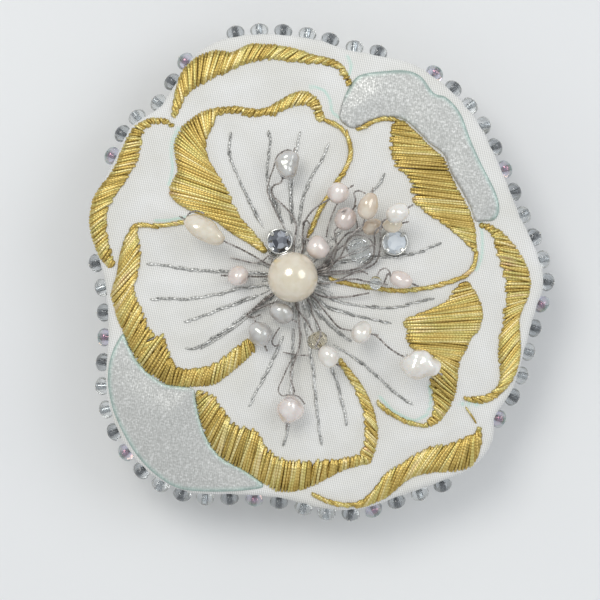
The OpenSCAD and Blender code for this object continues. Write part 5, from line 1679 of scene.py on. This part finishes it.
# %% Wire ways
# the piece it holds, and its way as (x, y) from the middle and height above the stitching
WIRES = {
    "wires_top": [
        (
            "pearl_grey_top",
            [(0.2, 5.4, 0), (0.5, 8.4, 0), (-0.9, 10.8, 0.2), (-3.2, 13, 0.9), (-3.1, 14.4, 2.2)],
        ),
    ],
    "wires_upper_right": [
        ("pearl_rose_cluster", [(1.6, 4.6, 0), (1.5, 6.8, 0), (2, 9, 0.8), (3.4, 10.8, 2.4)]),
        ("pearl_mauve_cluster", [(5.8, 2.2, 0), (6.9, 4.2, 0.8), (6.8, 5.8, 2.4)]),
        ("pearl_peach_cluster", [(5.6, 1.6, 0), (7.6, 3.4, 0.9), (8.7, 6, 3.4), (9.9, 7.2, 5)]),
        ("pearl_shade_cluster", [(4.9, 2, 0), (6.9, 4.9, 0), (8.6, 6.9, 0.8)]),
        (
            "pearl_lemon_cluster",
            [(6, 0.9, 0), (9.5, 1.2, 0), (12.4, 2.6, 0.2), (13, 5.2, 0.8), (12.9, 6.8, 3.1)],
        ),
        (
            "pearl_ivory_cluster",
            [(6.4, 0.5, 0), (10, 0.9, 0.1), (13, 2.2, 0.2), (13.8, 4.4, 1.6), (13.8, 6.2, 4.4),
             (13.7, 7.6, 5.9)],
        ),
        ("crystal_upper_right", [(5.4, 1.4, 0), (7.2, 2.8, 1.4)]),
        ("pearl_blush_middle", [(5.4, 1, 0.2), (6.3, 2.2, 1.1)]),
    ],
    "wires_right": [
        ("crystal_small_right", [(4.8, -1, 0), (8.1, -0.4, 0.6), (10, -0.3, 1.4)]),
        ("pearl_pink_right", [(14.4, -1.1, 1.7), (14.6, -0.5, 2.3)]),
        ("bare", [(4.6, -3, 0), (8.5, -3.1, 0.1), (12.1, -2.5, 0.8)]),
    ],
    "wires_lower": [
        ("pearl_silver_upper", [(-4, -3.4, 0), (-6, -5, 0.2)]),
        ("pearl_silver_lower", [(-4.6, -3.6, 0), (-7.2, -6, 0.4)]),
        ("crystal_lower", [(0.6, -4.8, 0), (1.3, -5.8, 0.3), (2.2, -7, 1)]),
        ("pearl_white_lower", [(2.8, -4.4, 0.1), (3.1, -5.8, 0.8), (3.9, -7.4, 2.6), (4.4, -9, 4.1)]),
        ("pearl_chalk_right", [(3.7, -3.6, 0.1), (4.8, -5, 0.5), (6.4, -7, 2), (7.4, -8, 3.1)]),
        ("pearl_white_baroque", [(12.9, -9.05, 3.6), (13.9, -9.9, 4), (15, -11, 4.6)]),
        (
            "pearl_cream_bottom",
            [(0.9, -4.6, 0), (1, -7.6, 0), (1.1, -10.6, 0.1), (0.4, -13, 0.8), (-0.4, -15.4, 1.8)],
        ),
    ],
    "wires_left": [
        ("pearl_cream_left", [(-4.6, 2.4, 0), (-6.4, 3.5, 0.8), (-8.3, 4.5, 3)]),
        ("pearl_pink_left", [(-4.6, 0.1, 0), (-5.4, 0.1, 0.4)]),
    ],
}
LINKED = ("pearl_pink_right", "pearl_white_baroque")
STRUNG = {row[0]: row for row in PEARLS + CRYSTALS}


def wire_points(name, path):
    """The way of one wire in mm."""
    points = []
    if name not in LINKED:
        first = np.array(path[0][:2])
        q = spray_middle + centre_across * 0.32 * first / np.linalg.norm(first)
        points.append([*q, float(dome_z(q)) + wire_across / 2 + 0.05])
    for x, y, up in path:
        q = spray_middle + (x, y)
        points.append([*q, float(dome_z(q)) + spray_lift + wire_across / 2 + up])
    if name == "bare":
        return even(open_curve(points, 8), step=0.16)
    row = STRUNG[name]
    middle, way = strung_middle(row), hole_way(row)
    points.append(middle - way * (row[4] / 2 + 0.7))
    line = open_curve(points, 8)
    leave = middle + way * (row[4] / 2 + 0.5)
    return even(np.vstack([line, leave, leave + way * 0.4 - (0, 0, 0.25)]), step=0.16)


def twisted(points, across=0.19, turn_mm=1.25):
    """Two thin wires wound round one way."""
    p = np.asarray(points, float)
    run = np.concatenate([[0], np.cumsum(np.linalg.norm(np.diff(p, axis=0), axis=1))])
    way = np.gradient(p, axis=0)
    way /= np.linalg.norm(way, axis=1)[:, None]
    side = np.cross(way, (0, 0, 1.0))
    side /= np.maximum(np.linalg.norm(side, axis=1), 1e-6)[:, None]
    up = np.cross(side, way)
    strands = []
    for k in (0, math.pi):
        turn = run / turn_mm * 2 * math.pi + k
        strands.append(
            tube(p + 0.47 * across * (side * np.cos(turn)[:, None] + up * np.sin(turn)[:, None]), across, 5)
        )
    return strands


# Oxidised wire: grey metal rubbed bright in places, so that it glints here and there.
craft_wire, tree, shader = new_material("oxidised_craft_wire", "#a39e9b", Metallic=0.7, Roughness=0.34)
place = add_node(tree, "TexCoord").outputs["Object"]
worn = add_node(tree, "TexNoise", {"Vector": place, "Scale": spots(0.9), "Detail": 3.0}).outputs["Fac"]
tint = add_node(
    tree, "ValToRGB", {"Fac": worn}, stops=[(0.35, "#7c7673"), (0.52, "#a8a29e"), (0.7, "#d6d1cd")]
)
tree.links.new(tint.outputs["Color"], shader.inputs["Base Color"])
print(
    "longest wire", round(max(len(wire_points(n, p)) for w in WIRES.values() for n, p in w) * 0.16, 1), "mm"
)

# %% [markdown]
# The spare ends are curled with pliers. Each row of three numbers is a place on the drawing
# and its height above the stitching.

# %% Curls and hooks
CURLS = {
    "wires_top": [
        [(-2.2, 4.4, 0.1), (-1.9, 6.2, 0.2), (-1.5, 7.6, 0.4), (-1.9, 8.2, 0.6), (-2.5, 7.9, 0.7),
         (-2.4, 7.1, 0.5)],
        [(-5.4, 6.8, 0.05), (-7, 10, 0.05), (-8.1, 12.6, 0.3), (-7.9, 14.4, 1.2), (-7.2, 16.4, 2.6),
         (-6.5, 18.4, 3.2), (-5, 19.3, 3.4), (-3.7, 18.8, 3.2)],
    ],
    "wires_upper_right": [
        [(2.6, 3.2, 0.4), (4.2, 4.5, 0.9), (5.5, 5.9, 1.4), (6.1, 7.2, 1.5), (5.7, 8.9, 1.1),
         (4.6, 9.8, 4.6), (3.6, 9.4, 6.2)],
        [(5.6, 10.2, 4.2), (5.75, 11.4, 5.8), (5.5, 12.4, 6.3), (6.3, 12.7, 6.6), (7.3, 12.3, 6.2)],
        [(4.6, 3.2, 0.7), (4.3, 4.6, 1.9), (5.2, 5.6, 3.6), (6.6, 5.8, 4.9), (8, 5.2, 4.6),
         (8.8, 3.8, 2.6), (8.5, 2.2, 0.9), (7.2, 1.3, 0.3)],
        [(1.2, 5.6, 0.1), (1.7, 8, 0.2), (2.8, 10.6, 0.6), (3.4, 11.2, 1.2)],
    ],
    "wires_right": [
        [(1.2, -1.8, 0.1), (3.2, -1.2, 0.3), (5.2, -0.3, 0.6), (6.9, 0.1, 0.9), (7.8, -0.3, 1.1)],
        [(9.3, -0.5, 2.6), (9.7, 0.3, 3), (10.6, 0.6, 3), (11.2, 0, 2.8), (11.3, -0.7, 2.6)],
    ],
    "wires_lower": [
        [(-6.2, -8.8, 0.1), (-7, -10, 0.3), (-7.4, -11, 0.5), (-7, -11.7, 0.6), (-6.2, -11.5, 0.4)],
        [(-2.8, -9.4, 0.1), (-3, -11.4, 0.2), (-3.5, -13, 0.4), (-4.6, -14.4, 0.3),
         (-5.6, -16.6, 0.8), (-6.4, -18.6, 2.2), (-5.8, -19.5, 4), (-4.6, -19.3, 5.4),
         (-3.2, -19.6, 5), (-2.2, -20.8, 3.9)],
        [(-5.6, -12.7, 0.2), (-3.6, -13.1, 0.6), (-1.4, -13.2, 1.4)],
    ],
    "wires_left": [
        [(-6.2, -4.6, 0.1), (-8, -5.1, 0.2), (-9.9, -6, 0.3), (-11.5, -6.7, 0.3), (-10.6, -7.2, 0.2),
         (-9.2, -6.7, 0.1)],
        [(-14, 2.3, 0.1), (-12.2, 1.9, 0.3), (-10.4, 1.5, 0.3), (-8.9, 1.8, 0.5), (-7.9, 2.7, 0.7),
         (-7.4, 2.1, 0.8), (-7.6, 1.2, 0.6)],
        [(-21, 8.2, 4.6), (-20.4, 9.2, 5.2), (-19.2, 9.6, 5.5), (-18, 9.2, 5.5)],
    ],
}
for name, wires in WIRES.items():
    strands = []
    for held, path in wires:
        strands += twisted(wire_points(held, path))
    for curl in CURLS[name]:
        q = on_flower([c[:2] for c in curl])
        z = dome_z(q) + 0.75 + np.array([c[2] for c in curl])
        strands += twisted(even(open_curve(np.column_stack([q, z]), 8), step=0.16), 0.16, 1.0)
    sprays = gather(name + "_twisted", strands, craft_wire)
    finish_piece(sprays, replaces=[name])

# %% [markdown]
# ## The clip
# The clip is pressed from nickel-plated spring steel. Its CAD shape is right, but CAD edges
# are knife sharp and real pressed edges are not. A copy of each CAD mesh has its loose
# triangles merged, its flat faces joined and its edges bevelled by a tenth of a millimetre,
# which is what catches the light.

# %% Pressed steel
# Nickel plate: a soft mirror whose fine drawn grain blurs the reflections one way.
nickel_steel, tree, shader = new_material(
    "nickel_plated_spring_steel", "#c9c7c2", Metallic=1.0, Roughness=0.24
)
place = add_node(tree, "TexCoord").outputs["Object"]
stretched = add_node(tree, "Mapping", {"Vector": place, "Scale": (0.12, 1, 1)}).outputs["Vector"]
grain = add_node(
    tree, "TexNoise", {"Vector": stretched, "Scale": spots(0.25), "Detail": 4.0}
).outputs["Fac"]
worn = add_node(tree, "TexNoise", {"Vector": place, "Scale": spots(3.5), "Detail": 4.0}).outputs["Fac"]
tint = add_node(tree, "ValToRGB", {"Fac": worn}, stops=[(0.3, "#c2c0ba"), (0.7, "#cfcdc8")])
tree.links.new(tint.outputs["Color"], shader.inputs["Base Color"])
polish = add_node(tree, "MapRange", {"Value": grain, "To Min": 0.16, "To Max": 0.36})
tree.links.new(polish.outputs[0], shader.inputs["Roughness"])
raised = add_node(tree, "Bump", {"Strength": 0.25, "Distance": 0.015 * MM, "Height": grain})
tree.links.new(raised.outputs["Normal"], shader.inputs["Normal"])


def eased_copy(node, round_mm):
    """A CAD shape again with its edges eased."""
    only(nodes[node])
    bpy.ops.object.duplicate()
    copy = bpy.context.object
    copy.parent = None
    copy.name = node + "_eased"
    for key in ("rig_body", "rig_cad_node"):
        if key in copy:
            del copy[key]
    bpy.ops.object.mode_set(mode="EDIT")
    bpy.ops.mesh.select_all(action="SELECT")
    bpy.ops.mesh.remove_doubles(threshold=1e-7)
    bpy.ops.mesh.dissolve_limited(angle_limit=math.radians(1))
    bpy.ops.object.mode_set(mode="OBJECT")
    apply_modifier(
        copy, "BEVEL", width=round_mm * MM, segments=2, limit_method="ANGLE", angle_limit=math.radians(30)
    )
    copy.data.materials.clear()
    copy.data.materials.append(nickel_steel)
    bpy.ops.object.shade_smooth_by_angle(angle=math.radians(35))
    return copy


for node, body, round_mm in (
    ("upper_jaw", "flower", 0.12), ("lower_jaw", "lower_jaw", 0.1), ("hinge_pin", "flower", 0.12)
):
    finish_piece(eased_copy(node, round_mm), body, [node])

# %% [markdown]
# The spring is wire wound round the pin, with one leg under the upper jaw and one on the
# lever. It crosses the joint.

# %% Spring
pin_low, pin_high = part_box("hinge_pin")
pin = np.array((pin_low + pin_high) / 2) / MM
spring_wire, spring_r, half = 0.6, 1.25, 1.44
jaw_gap = 4.6
below, above = jaw_gap * 0.48, jaw_gap * 0.52
lever_angle = math.radians(25)
lever_tan, lever_cos = math.tan(lever_angle), math.cos(lever_angle)
lever_l = 17
clear, leg = spring_wire / 2 + 0.15, lever_l * 0.6
ways = [
    (leg, -half, above - clear),
    (leg * 0.5, -half, above - clear - 0.05),
    (spring_r, -half, above - clear - 0.2),
]
coil_turns, coil_steps = 3.5, 84
wind = math.radians(360 * coil_turns)
ways += [
    (
        spring_r * math.cos(math.radians(90) + wind * i / coil_steps),
        -half + 2 * half * i / coil_steps,
        spring_r * math.sin(math.radians(90) + wind * i / coil_steps),
    )
    for i in range(coil_steps + 1)
]
lever_w = -below - (leg - 4) * lever_tan + clear / lever_cos
ways += [
    (3.6, half, -below + clear + 0.05),
    (leg * 0.6, half, (-below + clear + 0.05) * 0.55 + lever_w * 0.45 - 0.12),
    (leg, half, lever_w),
]
# Spring wire: darker than the plate and dull where the die has dragged on it.
spring_steel, tree, shader = new_material("drawn_spring_wire", "#9b9a98", Metallic=1.0, Roughness=0.3)
place = add_node(tree, "TexCoord").outputs["Object"]
drawn = add_node(tree, "TexNoise", {"Vector": place, "Scale": spots(0.5), "Detail": 3.0}).outputs["Fac"]
tint = add_node(tree, "ValToRGB", {"Fac": drawn}, stops=[(0.3, "#7f7e7c"), (0.7, "#aeadaa")])
tree.links.new(tint.outputs["Color"], shader.inputs["Base Color"])
v, f = tube(np.array(ways) + (pin[0], 0, pin[2]), spring_wire, 12)
spring = gather("wound_spring", [(v, f)], spring_steel)
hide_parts("torsion_spring")
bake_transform(spring)
print("spring has", coil_turns, "turns and two legs")

# %% [markdown]
# ## Felt behind the flower
# The back is closed with ivory felt, cut a little smaller than the flower and whipped to the
# hem with sewing thread. A strip of the same felt goes round the upper jaw and is glued down
# on both sides, which holds the clip. Felt is matted wool: matt, with a short pile.

# %% Felt
ivory_felt, tree, shader = new_material(
    "pressed_wool_felt", "#e9e4d6", Roughness=0.95, Sheen_Weight=0.5, Sheen_Roughness=0.6
)
place = add_node(tree, "TexCoord").outputs["Object"]
pile = add_node(
    tree,
    "TexNoise",
    {"Vector": place, "Scale": spots(0.35), "Detail": 6.0, "Roughness": 0.75, "Distortion": 1.2},
).outputs["Fac"]
clumps = add_node(tree, "TexNoise", {"Vector": place, "Scale": spots(3.0), "Detail": 3.0}).outputs["Fac"]
short = add_node(tree, "ValToRGB", {"Fac": pile}, stops=[(0.3, "#d9d3c2"), (0.7, "#f2eee2")])
broad = add_node(tree, "ValToRGB", {"Fac": clumps}, stops=[(0.3, "#e0dac9"), (0.7, "#efeadd")])
layers = {0: 0.4, 6: short.outputs["Color"], 7: broad.outputs["Color"]}
soft = add_node(tree, "Mix", layers, data_type="RGBA", blend_type="MIX").outputs[2]
tree.links.new(soft, shader.inputs["Base Color"])
raised = add_node(tree, "Bump", {"Strength": 0.7, "Distance": 0.12 * MM, "Height": pile})
tree.links.new(raised.outputs["Normal"], shader.inputs["Normal"])

felt_low, felt_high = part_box("backing")
felt_under, felt_top = felt_low.z / MM, felt_high.z / MM
felt_n = 300
felt_edge = even(outline - out_of * 2.9, count=felt_n, closed=True)
felt_rows = [felt_edge * t for t in np.linspace(0, 1, 28)[1:]]
low_rows = [np.column_stack([r, np.full(felt_n, felt_under)]) for r in felt_rows[:-1]]
rim = [
    np.column_stack([felt_edge * (1 - t), np.full(felt_n, z)])
    for t, z in (
        (0.006, felt_under),
        (0.001, felt_under + 0.15),
        (0.0, (felt_under + felt_top) / 2),
        (0.001, felt_top - 0.15),
        (0.006, felt_top - 0.01),
    )
]
top_rows = [np.column_stack([r, np.full(felt_n, felt_top - 0.01)]) for r in felt_rows[:-1][::-6]]
felt_places = np.vstack([[[0, 0, felt_under]], *low_rows, *rim, *top_rows, [[0, 0, felt_top - 0.01]]])
shifts = np.sin(felt_places[:, 0] * 0.9) * np.sin(felt_places[:, 1] * 0.8 + 1) * 0.03
felt_places[:, 2] += np.abs(shifts) * (felt_places[:, 2] < felt_top - 0.4)
count = len(low_rows) + len(rim) + len(top_rows)
last = len(felt_places) - 1
felt_faces = [(0, 1 + (j + 1) % felt_n, 1 + j) for j in range(felt_n)] + grid_faces(
    count, felt_n, first=1
)[:, ::-1].tolist()
felt_faces += [(last, last - felt_n + j, last - felt_n + (j + 1) % felt_n) for j in range(felt_n)]
backing = add_mesh("felt_backing", felt_places, felt_faces, ivory_felt)
finish_piece(backing, replaces=["backing"])

# %% [markdown]
# A whip stitch comes up through the felt, slants over its edge and goes into the hem.

# %% Whip stitches round the felt
whip = []
for i in range(0, felt_n, 4):
    at, nxt = felt_edge[i], felt_edge[(i + 3) % felt_n]
    out = at / np.linalg.norm(at)
    way = [
        [*(at - out * 1.5), felt_under + 0.25],
        [*(at - out * 1.4), felt_under - 0.08],
        [*(at * 0.6 + nxt * 0.4 - out * 0.5), felt_under - 0.12],
        [*(at * 0.4 + nxt * 0.6 + out * 0.12), felt_under + 0.1],
        [*(at * 0.3 + nxt * 0.7 + out * 0.3), hem_z - 0.12],
        [*(at * 0.2 + nxt * 0.8 + out * 0.7), hem_z + 0.1],
    ]
    whip.append(tube(open_curve(way, 3), 0.3, 6))
whip_stitches = gather("felt_whip_stitches", whip, sewing_thread)
finish_piece(whip_stitches)

# %% [markdown]
# The strip's section runs over one wing, down round the jaw and up to the other wing. Rows of
# that section are joined into one closed shape whose wings have round corners.

# %% Felt strip round the jaw
jaw_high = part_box("upper_jaw")[1]
strip_low, strip_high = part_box("clip_patch")
side, wing, thick = (jaw_high.y / MM) + 0.05, strip_high.y / MM, 0.8
jaw_under = (jaw_high.z / MM) - 0.6
bed = felt_under - 0.05
section = [
    (-wing, bed),
    (-wing + 2, bed),
    (-side - 1.1, bed),
    (-side - 0.35, bed - 0.25),
    (-side, bed - 0.55),
    (-side + 0.2, jaw_under - 0.07),
    (-side + 1.6, jaw_under - 0.06),
    (0, jaw_under - 0.06),
]
section = np.array(section + [(-y, z) for y, z in section[-2::-1]])
section = even(open_curve(section, 6), count=64)
lean = np.gradient(section, axis=0)
lean /= np.linalg.norm(lean, axis=1)[:, None]
outer_section = section + np.stack([lean[:, 1], -lean[:, 0]], 1) * (thick - 0.03)
x0, x1 = strip_low.x / MM, strip_high.x / MM
edge_y = np.abs(section[:, 0])
corner_r = 2.4
over = np.maximum(corner_r**2 - (edge_y - wing + corner_r) ** 2, 0)
corner = np.where(edge_y > wing - corner_r, corner_r - np.sqrt(over), 0)
strip_rows, strip_round = 25, 2 * len(section)
loop_rows = []
for t in np.linspace(0, 1, strip_rows):
    x = (x0 + corner) * (1 - t) + (x1 - corner) * t
    near_jaw = np.column_stack([x, section])
    far_side = np.column_stack([x, outer_section])
    loop_rows.append(np.vstack([near_jaw, far_side[::-1]]))
strip_faces = grid_faces(strip_rows, strip_round).tolist()
last = (strip_rows - 1) * strip_round
for j in range(len(section) - 1):
    strip_faces.append([j, j + 1, strip_round - 2 - j, strip_round - 1 - j])
for j in range(len(section) - 1):
    strip_faces.append([last + strip_round - 1 - j, last + strip_round - 2 - j, last + j + 1, last + j])
strip = add_mesh("felt_jaw_strip", np.vstack(loop_rows), strip_faces, ivory_felt)
only(strip)
bpy.ops.object.mode_set(mode="EDIT")
bpy.ops.mesh.select_all(action="SELECT")
bpy.ops.mesh.normals_make_consistent(inside=False)
bpy.ops.object.mode_set(mode="OBJECT")
apply_modifier(
    strip, "BEVEL", width=0.14 * MM, segments=2, limit_method="ANGLE", angle_limit=math.radians(50)
)
finish_piece(strip, replaces=["clip_patch"])
